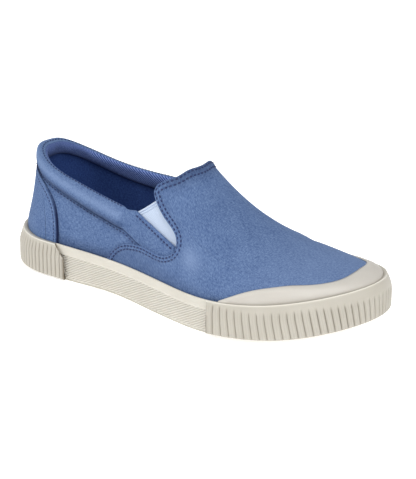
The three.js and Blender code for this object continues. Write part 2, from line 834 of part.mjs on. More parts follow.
add('outsole', outsoleSolid(), COLOURS.rubber, 0.6);
add('foxing', foxingGeometry(), COLOURS.rubber, 0.55);
add(
  'toe_bumper',
  bumperGeometry(toeStart, 1 - toeStart, TOE_RIB_PITCH, TOE_RIB_DEPTH, 0.5, 0.02),
  COLOURS.rubber,
  0.55,
);
add(
  'heel_bumper',
  bumperGeometry(-heelEnd, heelEnd, HEEL_RIB_PITCH, HEEL_RIB_DEPTH, 0.4, 0),
  COLOURS.rubber,
  0.55,
);
add('toe_cap', toeCapGeometry(), COLOURS.rubber, 0.5);
add('vamp', vampGeometry(), COLOURS.canvas, 0.9);
add('quarter', quarterGeometry(), COLOURS.canvas, 0.9);
add('heel_counter', counterGeometry(), COLOURS.canvas, 0.9);
add('collar', collarGeometry(), COLOURS.canvas, 0.9);
add('gore_lateral', goreGeometry(-1), COLOURS.gore, 0.85);
add('gore_medial', goreGeometry(1), COLOURS.gore, 0.85);
add('insole', insoleGeometry(), COLOURS.lining, 0.95);

export default group;
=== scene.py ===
"""Looks of a slip-on canvas sneaker for the right foot, standing empty on its sole.

Sizes are in millimetres. X runs from the heel to the toe, Y to the inner (medial) side
and Z up. Every mesh is written in metres, with its place in its own points.
"""

from __future__ import annotations

import logging
import math
from collections.abc import Callable, Mapping, Sequence
from dataclasses import dataclass, field
from enum import Enum

import bmesh
import bpy
import numpy as np
from mathutils import Matrix

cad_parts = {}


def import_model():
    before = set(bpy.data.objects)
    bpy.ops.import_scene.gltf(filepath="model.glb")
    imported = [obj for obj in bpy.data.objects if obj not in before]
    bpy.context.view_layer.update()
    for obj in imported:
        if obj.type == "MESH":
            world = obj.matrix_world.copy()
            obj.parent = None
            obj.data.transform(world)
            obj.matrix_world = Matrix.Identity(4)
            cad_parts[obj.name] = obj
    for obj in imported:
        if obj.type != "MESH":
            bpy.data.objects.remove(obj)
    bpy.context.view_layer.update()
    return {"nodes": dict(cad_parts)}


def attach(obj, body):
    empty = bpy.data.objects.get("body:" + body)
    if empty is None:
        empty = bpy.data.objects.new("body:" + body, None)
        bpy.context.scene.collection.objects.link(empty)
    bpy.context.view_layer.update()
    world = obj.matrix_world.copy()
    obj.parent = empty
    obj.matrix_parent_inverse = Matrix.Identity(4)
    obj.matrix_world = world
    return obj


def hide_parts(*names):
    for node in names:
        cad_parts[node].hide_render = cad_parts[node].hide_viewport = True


LOG = logging.getLogger("sneaker")
MM = 0.001
# Millimetres of the surface chart to one full round of the rays.
RAY_RUN = 640.0

Array = np.ndarray
Rows = tuple[float, ...]
Pair = tuple[float, float]
Triple = tuple[float, float, float]


class Side(Enum):
    """The two sides of a right shoe, by the sign of Y."""

    LATERAL = -1
    MEDIAL = 1


class Layer(Enum):
    """Which skin of a shell a face belongs to, as the number of its finish."""

    OUTER = 0
    INNER = 1
    RIM = 2


def smooth_step(value: Array, low: float, high: float) -> Array:
    """Zero below low, one above high, and t*t*(3 - 2t) between them."""
    t = np.clip((value - low) / (high - low), 0.0, 1.0)
    return t * t * (3.0 - 2.0 * t)


def bump(value: Array, centre: float, spread: float) -> Array:
    """Bell curve: exp of minus the squared distance to the centre over the spread squared."""
    return np.exp(-(((value - centre) / spread) ** 2))


def quarter_round(share: Array) -> Array:
    """Rounded edge at a share of its radius: the root of one less the squared share left."""
    left = 1 - np.clip(share, 0, 1)
    return np.sqrt(np.clip(1 - left**2, 0, 1))


def nearer(turn: Array) -> Array:
    """Turn from the nearer base of the section, the same on both sides of the crest."""
    return np.minimum(turn, math.pi - turn)


def fixed(levels: Array) -> Callable[[Array, Array], Array]:
    """Height function that gives the same levels wherever a point lies."""

    def height(x: Array, y: Array) -> Array:
        """The levels."""
        return levels

    return height


def lengths_along(points: Array) -> Array:
    """Length from a line's first point to each of its points: the steps, summed.

    Args:
        points: One line or several, with the points on the last axis but one.

    Returns:
        The lengths, zero at the first point.
    """
    steps = np.linalg.norm(np.diff(points, axis=-2), axis=-1)
    start = np.zeros(steps.shape[:-1] + (1,))
    return np.concatenate([start, np.cumsum(steps, axis=-1)], axis=-1)


def through(points: Array, count: int) -> Array:
    """Even walk along a smooth curve that passes through every point.

    A Catmull-Rom curve is laid through the points, and then points are taken at equal
    lengths of it.

    Args:
        points: One row for each point to pass.
        count: How many points to return.

    Returns:
        The walk, one row for each of its points.
    """
    padded = np.vstack([2 * points[0] - points[1], points, 2 * points[-1] - points[-2]])
    place = np.linspace(0.0, len(points) - 1.0, 60 * len(points))
    cell = np.minimum(place.astype(int), len(points) - 2)
    f = (place - cell)[:, None]
    p0, p1, p2, p3 = (padded[cell + k] for k in range(4))
    dense = 0.5 * (
        2 * p1
        + (p2 - p0) * f
        + (2 * p0 - 5 * p1 + 4 * p2 - p3) * f**2
        + (3 * p1 - p0 - 3 * p2 + p3) * f**3
    )
    return even_walk(dense, count)


def even_walk(line: Array, count: int) -> Array:
    """Points at equal lengths along a line: length summed, then read back at even steps.

    Args:
        line: Dense points of the line.
        count: How many points to return.

    Returns:
        The evenly spaced points.
    """
    length = lengths_along(line)
    wanted = np.linspace(0.0, length[-1], count)
    return np.stack([np.interp(wanted, length, line[:, k]) for k in range(line.shape[1])], axis=1)


@dataclass
class Form:
    """The foot form over the foxing and the footprint, which all pieces are cut from."""

    length: float = 270.0
    width: float = 100.0
    foxing_height: float = 24.0
    upper_rise: float = 64.0
    toe_spring: float = 17.0
    toe_tuck: float = 2.6
    heel_tuck: float = 1.8
    tuck_start: float = 0.66
    tuck_end: float = 0.90
    heel_tuck_start: float = 0.15
    heel_tuck_end: float = 0.03
    arch_rise: float = 1.0
    spring_start: float = 0.586
    arch_start: float = 0.2
    arch_end: float = 0.5
    inset: float = 5.0
    lateral: Rows = (0.330, 0.352, 0.352, 0.357, 0.425, 0.500, 0.493, 0.425, 0.330)
    medial: Rows = (0.375, 0.385, 0.385, 0.385, 0.400, 0.465, 0.515, 0.505, 0.445)
    toe_round: float = 0.20
    heel_round: float = 0.15
    power: float = 2.3
    foxing: Rows = (0.98, 1.00, 0.99, 0.97, 0.94, 0.90, 0.90, 0.96, 0.94)
    crown: Rows = (1.75, 1.75, 1.72, 1.75, 1.08, 0.617, 0.362, 0.160, 0.060)
    squareness: Rows = (3.0, 3.0, 2.8, 2.5, 2.3, 2.2, 2.2, 2.3, 2.4)
    fullness: Rows = (2.0, 2.0, 2.0, 2.0, 2.0, 1.9, 1.9, 1.9, 2.0)
    lean: Rows = (0.16, 0.16, 0.16, 0.14, 0.08, 0.02, 0.0, 0.0, 0.0)
    heel_lean: Rows = (0.0, 7.0, 8.6, 7.8, 3.2)
    heel_fan: float = 0.11
    toe_fan: float = 0.14
    below: float = 60.0
    scale: float = field(init=False, default=1.0)
    shift: float = field(init=False, default=0.0)

    def __post_init__(self) -> None:
        """Centre the footprint and bring it to its width."""
        x = np.linspace(-0.5, 0.5, 401) * self.length
        low = -self.curve(self.share(x), self.lateral)
        high = self.curve(self.share(x), self.medial)
        round_off = np.sqrt(np.maximum(1.0 - self.ends(x, 0.0, 0.0), 0.0))
        middle = (low + high) / 2
        half = (high - low) / 2 * round_off
        lowest, highest = (middle - half).min(), (middle + half).max()
        self.scale = self.width / (highest - lowest)
        self.shift = -(highest + lowest) / 2

    @property
    def heel_centre(self) -> float:
        """Where the fan of rays of the heel starts."""
        return -self.length / 2 + 0.14 * self.length

    @property
    def toe_centre(self) -> float:
        """Where the fan of rays of the toe starts."""
        return self.length / 2 - 0.17 * self.length

    @property
    def side_run(self) -> float:
        """Share of the rays that leave straight to the side."""
        return 0.5 - self.heel_fan - self.toe_fan

    @staticmethod
    def curve(t: Array, rows: Sequence[float]) -> Array:
        """Uniform cubic B-spline over evenly spaced rows, held at both ends.

        Args:
            t: Places from 0 to 1.
            rows: The values at even places.

        Returns:
            The curve's value at each place.
        """
        table = np.asarray(rows, float)
        last = len(table) - 1
        padded = np.concatenate([[2 * table[0] - table[1]], table, [2 * table[-1] - table[-2]]])
        place = np.clip(np.asarray(t, float), 0.0, 1.0) * last
        cell = np.minimum(place.astype(int), last - 1)
        f = place - cell
        return (
            (1 - f) ** 3 * padded[cell]
            + (3 * f**3 - 6 * f**2 + 4) * padded[cell + 1]
            + (-3 * f**3 + 3 * f**2 + 3 * f + 1) * padded[cell + 2]
            + f**3 * padded[cell + 3]
        ) / 6

    def share(self, x: Array) -> Array:
        """Place along the length as a share from the heel."""
        return x / self.length + 0.5

    def spring(self, x: Array) -> Array:
        """Toe spring: its height times the squared share of the run past its start."""
        t = (self.share(x) - self.spring_start) / (1 - self.spring_start)
        return self.toe_spring * np.maximum(t, 0.0) ** 2

    def ground(self, x: Array) -> Array:
        """Underside of the sole: toe spring plus one raised cosine for the waist."""
        t = (self.share(x) - self.arch_start) / (self.arch_end - self.arch_start)
        arch = self.arch_rise * (0.5 - 0.5 * np.cos(2 * np.pi * t))
        return self.spring(x) + np.where((t > 0) & (t < 1), arch, 0.0)

    def foxing_top(self, x: Array) -> Array:
        """Top edge of the foxing: toe spring plus its height along the length."""
        return self.spring(x) + self.foxing_height * self.curve(self.share(x), self.foxing)

    def tuck(self, x: Array) -> Array:
        """Lean of the sole's side at its top: a smooth step from the waist to each end."""
        t = self.share(x)
        toe = self.toe_tuck * smooth_step(t, self.tuck_start, self.tuck_end)
        return toe + self.heel_tuck * smooth_step(t, self.heel_tuck_start, self.heel_tuck_end)

    def ends(self, x: Array, inset: Array, heel_shift: Array) -> Array:
        """Roundness used up by toe and heel: a power of the way into each end.

        Args:
            x: Places along the length.
            inset: Distance in from the outermost outline.
            heel_shift: How far the heel leans forward there.

        Returns:
            Zero along the sides and one at the two tips.
        """
        toe = self.length / 2 - inset
        heel = -self.length / 2 + inset + heel_shift
        toe_radius = self.toe_round * self.length
        heel_radius = self.heel_round * self.length
        a = np.maximum(0.0, (x - (toe - toe_radius)) / toe_radius)
        b = np.maximum(0.0, (heel + heel_radius - x) / heel_radius)
        return a**self.power + b**self.power

    def sides(self, x: Array, inset: Array) -> tuple[Array, Array]:
        """Middle and half width of the footprint: from the two side tables, less the inset."""
        t = self.share(x)
        low = (-self.curve(t, self.lateral) + self.shift) * self.scale + inset
        high = (self.curve(t, self.medial) + self.shift) * self.scale - inset
        return (low + high) / 2, (high - low) / 2

    def walls(self, x: Array, height: Array, grow: Array) -> tuple[Array, Array, Array, Array, Array]:
        """Numbers of the form's cross-section at a height.

        Args:
            x: Places along the length.
            height: Heights over the foxing.
            grow: How far the form is grown.

        Returns:
            Middle, half width with its lean, end rounding, squareness and height share.
        """
        t = self.share(x)
        up = np.maximum(height, 0.0)
        rise = up / self.upper_rise
        inset = self.inset - grow + self.tuck(x)
        middle, half = self.sides(x, inset)
        leaning = half * (1 - self.curve(t, self.lean) * np.minimum(rise * 1.28, 2.0) ** 1.5)
        heel_shift = self.curve(np.minimum(rise * 0.914, 1.0), self.heel_lean)
        ends = self.ends(x, inset, heel_shift)
        square = 2 + (self.curve(t, self.squareness) - 2) * (1 - np.exp(-rise * 10))
        crown = self.upper_rise * self.curve(t, self.crown) + grow
        return middle, leaning, ends, square, (up / crown) ** self.curve(t, self.fullness)

    def inside(self, x: Array, y: Array, height: Array, grow: Array) -> Array:
        """Positive inside the grown form: one less the end, side and height shares."""
        middle, half, ends, square, up = self.walls(x, height, grow)
        return 1 - ends - np.abs((y - middle) / half) ** square - up

    def wall(self, x: Array, height: Array, side: Array, grow: Array) -> Array:
        """Points of the form's wall at places and heights on one side.

        The side share that is left by the ends and the height is turned back into a width.

        Args:
            x: Places along the length.
            height: Heights over the foxing.
            side: Sign of Y.
            grow: How far the form is grown.

        Returns:
            The points, with a last axis of three.
        """
        x, height, side, grow = np.broadcast_arrays(x, height, side, grow)
        middle, half, ends, square, up = self.walls(x, height, grow)
        y = middle + side * half * np.maximum(1 - ends - up, 0.0) ** (1 / square)
        return np.stack([x, y, self.foxing_top(x) + height], axis=-1)

    def heading(self, u: Array) -> tuple[Array, Array, Array, Array]:
        """Start and direction of ray u: 0 at the heel, 0.5 at the toe, lateral side first."""
        turn = np.mod(u, 1.0)
        v = np.where(turn <= 0.5, turn, 1 - turn)
        sign = np.where(turn <= 0.5, -1.0, 1.0)
        run = self.heel_fan + self.side_run
        span = self.toe_centre - self.heel_centre
        middle = self.heel_centre + (v - self.heel_fan) / self.side_run * span
        x = np.where(v < self.heel_fan, self.heel_centre, np.where(v < run, middle, self.toe_centre))
        toe_angle = 90 + (v - run) / self.toe_fan * 90
        angle = np.where(v < self.heel_fan, v / self.heel_fan * 90, np.where(v < run, 90.0, toe_angle))
        turned = np.radians(angle)
        return x, self.sides(x, 0.0)[0], -np.cos(turned), sign * np.sin(turned)

    def ray_at(self, x: Array) -> Array:
        """Ray number that passes a place along the side."""
        span = self.toe_centre - self.heel_centre
        return self.heel_fan + (x - self.heel_centre) / span * self.side_run

    def ray_of(self, x: Array, y: Array) -> Array:
        """Ray number through a point seen from above, negative on the medial side.

        Args:
            x: Places along the length.
            y: Places across.

        Returns:
            The ray numbers from -0.5 to 0.5.
        """
        heel_y = self.sides(np.asarray(self.heel_centre), 0.0)[0]
        toe_y = self.sides(np.asarray(self.toe_centre), 0.0)[0]
        heel_angle = np.degrees(np.arctan2(np.abs(y - heel_y), self.heel_centre - x))
        toe_angle = np.degrees(np.arctan2(np.abs(y - toe_y), self.toe_centre - x)) - 90
        run = self.heel_fan + self.side_run
        v = np.where(x < self.heel_centre, heel_angle / 90 * self.heel_fan, self.ray_at(x))
        v = np.where(x > self.toe_centre, run + toe_angle / 90 * self.toe_fan, v)
        middle = np.where(x < self.heel_centre, heel_y, self.sides(x, 0.0)[0])
        return np.where(y < np.where(x > self.toe_centre, toe_y, middle), v, -v)

    @staticmethod
    def reach(inside: Callable[[Array], Array], far: float, shape: tuple[int, ...]) -> Array:
        """Distance along each ray at which a field stops being positive, by halving.

        Args:
            inside: The field at a distance along each ray.
            far: A distance that is surely outside.
            shape: Shape of the array of rays.

        Returns:
            The distances.
        """
        near = np.zeros(shape)
        beyond = np.full(shape, float(far))
        for _ in range(40):
            middle = (near + beyond) / 2
            within = inside(middle) > 0
            near = np.where(within, middle, near)
            beyond = np.where(within, beyond, middle)
        return near

    def edge_point(self, u: Array, inset: Array, lean: Array = 0.0) -> tuple[Array, Array]:
        """Point of the footprint's edge on ray u.

        Args:
            u: Ray numbers.
            inset: Distances in from the outermost outline.
            lean: Share of the sole's lean towards both ends.

        Returns:
            Its places along and across.
        """
        u, inset, lean = np.broadcast_arrays(u, inset, lean)
        x, y, dx, dy = self.heading(u)

        def field_at(distance: Array) -> Array:
            """One less the end rounding and the squared side share."""
            px, py = x + dx * distance, y + dy * distance
            leaned = inset + lean * self.tuck(px)
            middle, half = self.sides(px, leaned)
            return 1 - self.ends(px, leaned, 0.0) - ((py - middle) / half) ** 2

        r = self.reach(field_at, self.width * 1.5, u.shape)
        return x + dx * r, y + dy * r

    def side_point(self, u: Array, height: Callable[[Array, Array], Array], grow: Array) -> Array:
        """Point of the grown form on ray u at a height that may depend on the place.

        Args:
            u: Ray numbers.
            height: Height over the foxing at a place along and across.
            grow: How far the form is grown.

        Returns:
            The points, with a last axis of three.
        """
        u, grow = np.broadcast_arrays(u, grow)
        x, y, dx, dy = self.heading(u)

        def field_at(distance: Array) -> Array:
            """The form's field at a distance along each ray."""
            px, py = x + dx * distance, y + dy * distance
            return self.inside(px, py, height(px, py), grow)

        r = self.reach(field_at, self.width * 1.5, u.shape)
        px, py = x + dx * r, y + dy * r
        return np.stack([px, py, self.foxing_top(px) + height(px, py)], axis=-1)

    def section(self, x: Array, turn: Array, grow: Array) -> Array:
        """Points of the front part by place and turn: 0 at the lateral base, pi at the medial.

        The height is the crown times the sine, the width the leaning side times the cosine,
        each to the power that the form's fullness and squareness ask. Past both bases the
        wall goes straight down.

        Args:
            x: Places along the length, in front of the heel's round.
            turn: Turn round the section in radians.
            grow: How far the form is grown.

        Returns:
            The points, with a last axis of three.
        """
        x, turn, grow = np.broadcast_arrays(x, turn, grow)
        held = np.clip(turn, 0.0, math.pi)
        past = np.abs(turn - held) * self.below
        left = np.maximum(1 - self.ends(x, self.inset - grow + self.tuck(x), 0.0), 0.0)
        t = self.share(x)
        full = self.curve(t, self.fullness)
        crown = self.upper_rise * self.curve(t, self.crown) + grow
        height = crown * (left * np.sin(held) ** 2) ** (1 / full)
        middle, half, _, square, _ = self.walls(x, height, grow)
        y = middle - np.sign(np.cos(held)) * half * (left * np.cos(held) ** 2) ** (1 / square)
        return np.stack([x, y, self.foxing_top(x) + height - past], axis=-1)

    def turn_of(self, points: Array, grow: Array) -> Array:
        """Turn round the section of points on or near the form: the reverse of section.

        Args:
            points: Points with a last axis of three.
            grow: How far the form is grown.

        Returns:
            The turns in radians.
        """
        x, y = points[..., 0], points[..., 1]
        height = points[..., 2] - self.foxing_top(x)
        middle, half, _, square, up = self.walls(x, height, grow)
        across = np.abs((y - middle) / half) ** (square / 2)
        turn = np.arctan2(np.sqrt(up), across)
        turn = np.where(height < 0, height / self.below, turn)
        return np.where(y < middle, turn, math.pi - turn)


@dataclass
class Skin:
    """Points, faces and surface facts of one mesh before it becomes an object."""

    points: Array
    faces: list[Array]
    uv: Array
    layers: Array
    marks: dict[str, Array] = field(default_factory=dict)


def grid_faces(rows: int, columns: int, close_rows: bool = False, close_columns: bool = False) -> Array:
    """Quads of a grid whose point number is row times columns plus column.

    Args:
        rows: Number of rows.
        columns: Number of columns.
        close_rows: Whether the last row joins the first.
        close_columns: Whether the last column joins the first.

    Returns:
        One row of four point numbers for each quad.
    """
    i = np.arange(rows if close_rows else rows - 1)[:, None]
    j = np.arange(columns if close_columns else columns - 1)[None, :]
    i2, j2 = (i + 1) % rows, (j + 1) % columns
    quads = np.stack([i * columns + j, i * columns + j2, i2 * columns + j2, i2 * columns + j], axis=-1)
    return quads.reshape(-1, 4)


def shell(outer: Array, inner: Array, uv: Array, marks: Mapping[str, Array] | None = None) -> Skin:
    """Closed skin between two open grids of the same shape.

    The outer rows and the inner rows in reverse make one ring, and the two end columns are
    closed by strips.

    Args:
        outer: Outer grid of points.
        inner: Inner grid of points.
        uv: Surface coordinates of the outer grid in millimetres.
        marks: Numbers on the outer grid that a finish reads.

    Returns:
        The skin, with a layer number on each face.
    """
    rows, columns = outer.shape[:2]
    points = np.concatenate([outer, inner[::-1]], axis=0)
    ring = grid_faces(2 * rows, columns, close_rows=True)
    layer_of_row = np.full(2 * rows, Layer.OUTER.value)
    layer_of_row[rows:] = Layer.INNER.value
    layer_of_row[[rows - 1, 2 * rows - 1]] = Layer.RIM.value
    layers = [np.repeat(layer_of_row, columns - 1)]
    faces = [ring]
    i = np.arange(rows - 1)
    for column in (0, columns - 1):
        strip = np.stack([i, i + 1, 2 * rows - 2 - i, 2 * rows - 1 - i], axis=1) * columns + column
        faces.append(strip)
        layers.append(np.full(rows - 1, Layer.RIM.value))
    both = np.concatenate([uv, uv[::-1]], axis=0)
    doubled = {k: np.concatenate([v, v[::-1]], axis=0).ravel() for k, v in (marks or {}).items()}
    return Skin(points.reshape(-1, 3), faces, both.reshape(-1, 2), np.concatenate(layers), doubled)


def loop_loft(
    points: Array, uv: Array, layers: Array, closed: bool, marks: Mapping[str, Array] | None = None
) -> Skin:
    """Skin of equal closed loops in a row, ends filled when the row is open.

    Args:
        points: Stations by loop points by three.
        uv: Surface coordinates of the same points in millimetres.
        layers: Layer number of each loop point.
        closed: Whether the last station joins the first.
        marks: Numbers on the same points that a finish reads.

    Returns:
        The skin.
    """
    stations, size = points.shape[:2]
    quads = grid_faces(stations, size, close_rows=closed, close_columns=True)
    spans = stations if closed else stations - 1
    faces = [quads]
    numbers = [np.tile(layers, spans)]
    if not closed:
        first = np.arange(size)[None, :]
        faces.extend([first, first[:, ::-1] + (stations - 1) * size])
        numbers.append(np.full(2, Layer.RIM.value))
    flat = {k: v.ravel() for k, v in (marks or {}).items()}
    return Skin(points.reshape(-1, 3), faces, uv.reshape(-1, 2), np.concatenate(numbers), flat)


class Workshop:
    """Turns skins into objects that ride on the shoe, counts them and keeps the finishes."""

    def __init__(self, finishes: Finishes) -> None:
        """Start with no pieces."""
        self.finishes = finishes
        self.count = 0

    def make(self, name: str, skin: Skin, finishes: Sequence[bpy.types.Material]) -> bpy.types.Object:
        """Build an object from a skin, weld it and log its name and size.

        Args:
            name: Plain name of the piece.
            skin: Its points, faces and surface facts.
            finishes: Materials by layer number.

        Returns:
            The new object, which rides on the body root.
        """
        mesh = bpy.data.meshes.new(name)
        faces = [row for block in skin.faces for row in block.tolist()]
        mesh.from_pydata((skin.points * MM).tolist(), [], faces)
        corners = np.empty(len(mesh.loops), dtype=np.int32)
        mesh.loops.foreach_get("vertex_index", corners)
        chart = mesh.uv_layers.new(name="UVMap")
        chart.data.foreach_set("uv", (skin.uv[corners] * MM).astype(np.float32).ravel())
        mesh.polygons.foreach_set("material_index", skin.layers.astype(np.int32))
        for label, values in skin.marks.items():
            attribute = mesh.attributes.new(label, "FLOAT", "POINT")
            attribute.data.foreach_set("value", values.astype(np.float32))
        self.weld(mesh)
        for material in finishes:
            mesh.materials.append(material)
        piece = bpy.data.objects.new(name, mesh)
        bpy.context.scene.collection.objects.link(piece)
        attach(piece, "root")
        self.count += 1
        LOG.info("%s: %d faces", name, len(mesh.polygons))
        return piece

    @staticmethod
    def weld(mesh: bpy.types.Mesh) -> None:
        """Merge doubled points, drop empty faces, face outward and shade smoothly.

        Args:
            mesh: The mesh to clean.
        """
        work = bmesh.new()
        work.from_mesh(mesh)
        bmesh.ops.remove_doubles(work, verts=work.verts, dist=2e-6)
        bmesh.ops.dissolve_degenerate(work, edges=work.edges, dist=1e-7)
        bmesh.ops.recalc_face_normals(work, faces=work.faces)
        if work.calc_volume(signed=True) < 0:
            bmesh.ops.reverse_faces(work, faces=work.faces)
        work.to_mesh(mesh)
        work.free()
        mesh.polygons.foreach_set("use_smooth", np.ones(len(mesh.polygons), dtype=bool))
        mesh.update()


class Value:
    """A number that changes over a surface: an output socket with Python's operators."""

    def __init__(self, book: "NodeBook", socket: bpy.types.NodeSocket) -> None:
        """Wrap an output socket of a material's nodes."""
        self.book = book
        self.socket = socket

    def join(self, operation: str, first: object, second: object = None) -> "Value":
        """Result of a Math node on one or two numbers.

        Args:
            operation: The Math node's operation.
            first: A value or a plain number.
            second: Another one, where the operation takes two.

        Returns:
            The wrapped result.
        """
        sockets = {0: first} if second is None else {0: first, 1: second}
        made = self.book.node("ShaderNodeMath", {"operation": operation}, sockets)
        return Value(self.book, made.outputs[0])

    def __add__(self, other: object) -> "Value":
        """Sum."""
        return self.join("ADD", self, other)

    def __radd__(self, other: object) -> "Value":
        """Sum with the number first."""
        return self.join("ADD", other, self)

    def __sub__(self, other: object) -> "Value":
        """Difference."""
        return self.join("SUBTRACT", self, other)

    def __rsub__(self, other: object) -> "Value":
        """Difference with the number first."""
        return self.join("SUBTRACT", other, self)

    def __mul__(self, other: object) -> "Value":
        """Product."""
        return self.join("MULTIPLY", self, other)

    def __rmul__(self, other: object) -> "Value":
        """Product with the number first."""
        return self.join("MULTIPLY", other, self)

    def sine(self) -> "Value":
        """Sine of the number in radians."""
        return self.join("SINE", self)

    def power(self, exponent: float) -> "Value":
        """The number raised to a power."""
        return self.join("POWER", self, exponent)

    def high(self, floor: object) -> "Value":
        """The larger of the number and a floor."""
        return self.join("MAXIMUM", self, floor)

    def low(self, ceiling: object) -> "Value":
        """The smaller of the number and a ceiling."""
        return self.join("MINIMUM", self, ceiling)

    def held(self) -> "Value":
        """The number kept between 0 and 1."""
        return self.high(0.0).low(1.0)


class NodeBook:
    """The nodes of one material."""

    def __init__(self, name: str) -> None:
        """Start a material with only its output.

        Args:
            name: Plain name of the finish.
        """
        self.material = bpy.data.materials.new(name)
        self.material.use_nodes = True
        self.tree = self.material.node_tree
        self.tree.nodes.clear()
        self.output = self.tree.nodes.new("ShaderNodeOutputMaterial")

    def node(
        self,
        kind: str,
        settings: Mapping[str, object] | None = None,
        sockets: Mapping[str | int, object] | None = None,
    ) -> bpy.types.Node:
        """Make one node: its settings are set first, then its sockets.

        Args:
            kind: The node's type.
            settings: Values of its own properties.
            sockets: Plain values, wrapped values or output sockets by input.

        Returns:
            The node.
        """
        made = self.tree.nodes.new(kind)
        for key, value in (settings or {}).items():
            setattr(made, key, value)
        for key, value in (sockets or {}).items():
            source = value.socket if isinstance(value, Value) else value
            if isinstance(source, bpy.types.NodeSocket):
                self.tree.links.new(source, made.inputs[key])
            else:
                made.inputs[key].default_value = source
        return made

    def value(self, socket: bpy.types.NodeSocket) -> Value:
        """Wrap an output socket."""
        return Value(self, socket)

    def chart(self) -> tuple[Value, Value, bpy.types.NodeSocket]:
        """The piece's own surface coordinates in metres.

        Returns:
            The two coordinates and the vector that holds them.
        """
        chart = self.node("ShaderNodeUVMap", {"uv_map": "UVMap"})
        parts = self.node("ShaderNodeSeparateXYZ", None, {0: chart.outputs[0]})
        return self.value(parts.outputs[0]), self.value(parts.outputs[1]), chart.outputs[0]

    def place(self) -> bpy.types.NodeSocket:
        """Object coordinates of the piece in metres."""
        return self.node("ShaderNodeTexCoord").outputs["Object"]

    def noise(self, place: bpy.types.NodeSocket, scale: float, detail: float) -> Value:
        """Soft noise between 0 and 1, with so many features to the metre and finer layers."""
        made = self.node("ShaderNodeTexNoise", None, {"Vector": place, "Scale": scale, "Detail": detail})
        return self.value(made.outputs["Fac"])

    def mark(self, label: str) -> Value:
        """Number that the mesh carries on its points."""
        made = self.node("ShaderNodeAttribute", {"attribute_name": label})
        return self.value(made.outputs["Fac"])

    def tint(self, factor: Value, first: object, second: object) -> bpy.types.NodeSocket:
        """Colour between two colours or sockets, by the share of the second."""
        mixed = self.node("ShaderNodeMix", {"data_type": "RGBA"}, {0: factor, 6: first, 7: second})
        return mixed.outputs[2]

    def relief(self, height: Value, distance: float) -> bpy.types.NodeSocket:
        """Normal of a fine relief: its height from 0 to 1 and what 1 is in metres."""
        sockets = {"Strength": 1.0, "Distance": distance, "Height": height}
        return self.node("ShaderNodeBump", None, sockets).outputs[0]

    def close(self, values: Mapping[str, object]) -> bpy.types.Material:
        """Finish the material with one surface shader.

        Args:
            values: Values or links of the shader's sockets.

        Returns:
            The material.
        """
        shader = self.node("ShaderNodeBsdfPrincipled", None, values)
        self.tree.links.new(shader.outputs[0], self.output.inputs[0])
        return self.material


def colour(red: float, green: float, blue: float) -> tuple[float, float, float, float]:
    """Linear colour from a display colour of 0 to 255: the usual display curve undone.

    Args:
        red: Red.
        green: Green.
        blue: Blue.

    Returns:
        Linear red, green, blue and one.
    """
    shares = np.array([red, green, blue]) / 255
    linear = np.where(shares <= 0.04045, shares / 12.92, ((shares + 0.055) / 1.055) ** 2.4)
    return (float(linear[0]), float(linear[1]), float(linear[2]), 1.0)


@dataclass(frozen=True)
class Canvas:
    """Woven cotton canvas with a heathered yarn."""

    name: str = "canvas"
    deep: Triple = (57, 81, 126)
    light: Triple = (107, 131, 170)
    # Paler tone for the halo's wear and for painted highlight; dark tone for painted shade.
    worn: Triple = (128, 150, 187)
    ink: Triple = (14, 26, 62)
    sheen: float = 0.12
    thread: float = 0.00075
    weave: float = 0.00008
    twill: bool = False
    twill_lean: float = 0.8
    twill_pitch: float = 2.3
    twill_relief: float = 2.2
    yarn_scale: float = 1500.0
    yarn_draw: float = 0.35
    heather: float = 2.6
    cloud_scale: float = 90.0
    roughness: float = 0.92
    sheen_tint: Triple = (150, 175, 212)

    def material(self) -> bpy.types.Material:
        """Weave from two crossed waves, heather from noise drawn out along each yarn.

        Returns:
            The material.
        """
        book = NodeBook(self.name)
        across, along, chart = book.chart()
        turn = 2 * math.pi / self.thread
        if self.twill:
            slanted = (across * self.twill_lean + along) * (turn / self.twill_pitch)
            weave = slanted.sine() * 0.5 + 0.5
            ribbing, depth = 1.5, self.weave * self.twill_relief
        else:
            weave = (across * turn).sine() * (along * turn).sine() * 0.5 + 0.5
            ribbing, depth = 0.35, self.weave
        warp = book.node("ShaderNodeMapping", None, {0: chart, 3: (1.0, self.yarn_draw, 1.0)})
        weft = book.node("ShaderNodeMapping", None, {0: chart, 3: (self.yarn_draw, 1.0, 1.0)})
        lengthwise = book.noise(warp.outputs[0], self.yarn_scale, 1.0)
        crosswise = book.noise(weft.outputs[0], self.yarn_scale, 1.0)
        yarn = lengthwise * 0.5 + crosswise * 0.5
        cloud = book.noise(book.place(), self.cloud_scale, 2.0)
        mottle = (yarn - 0.5) * self.heather + (weave - 0.5) * ribbing + (cloud - 0.5) * 0.5
        base = book.tint((mottle + 0.5).held(), colour(*self.deep), colour(*self.light))
        # Paler: the halo in front of the gore, and painted highlight on the toe and along the roll.
        base = book.tint(book.mark("worn").held(), base, colour(*self.worn))
        # Darker: painted shade in creases, under the roll, near the foxing and along the counter's edge.
        base = book.tint(book.mark("ink").held(), base, colour(*self.ink))
        normal = book.relief(weave * 0.6 + yarn * 0.8, depth)
        return book.close(
            {
                "Base Color": base,
                "Roughness": self.roughness,
                "Specular IOR Level": 0.25,
                "Sheen Weight": self.sheen,
                "Sheen Roughness": 0.45,
                "Sheen Tint": colour(*self.sheen_tint),
                "Normal": normal,
            }
        )


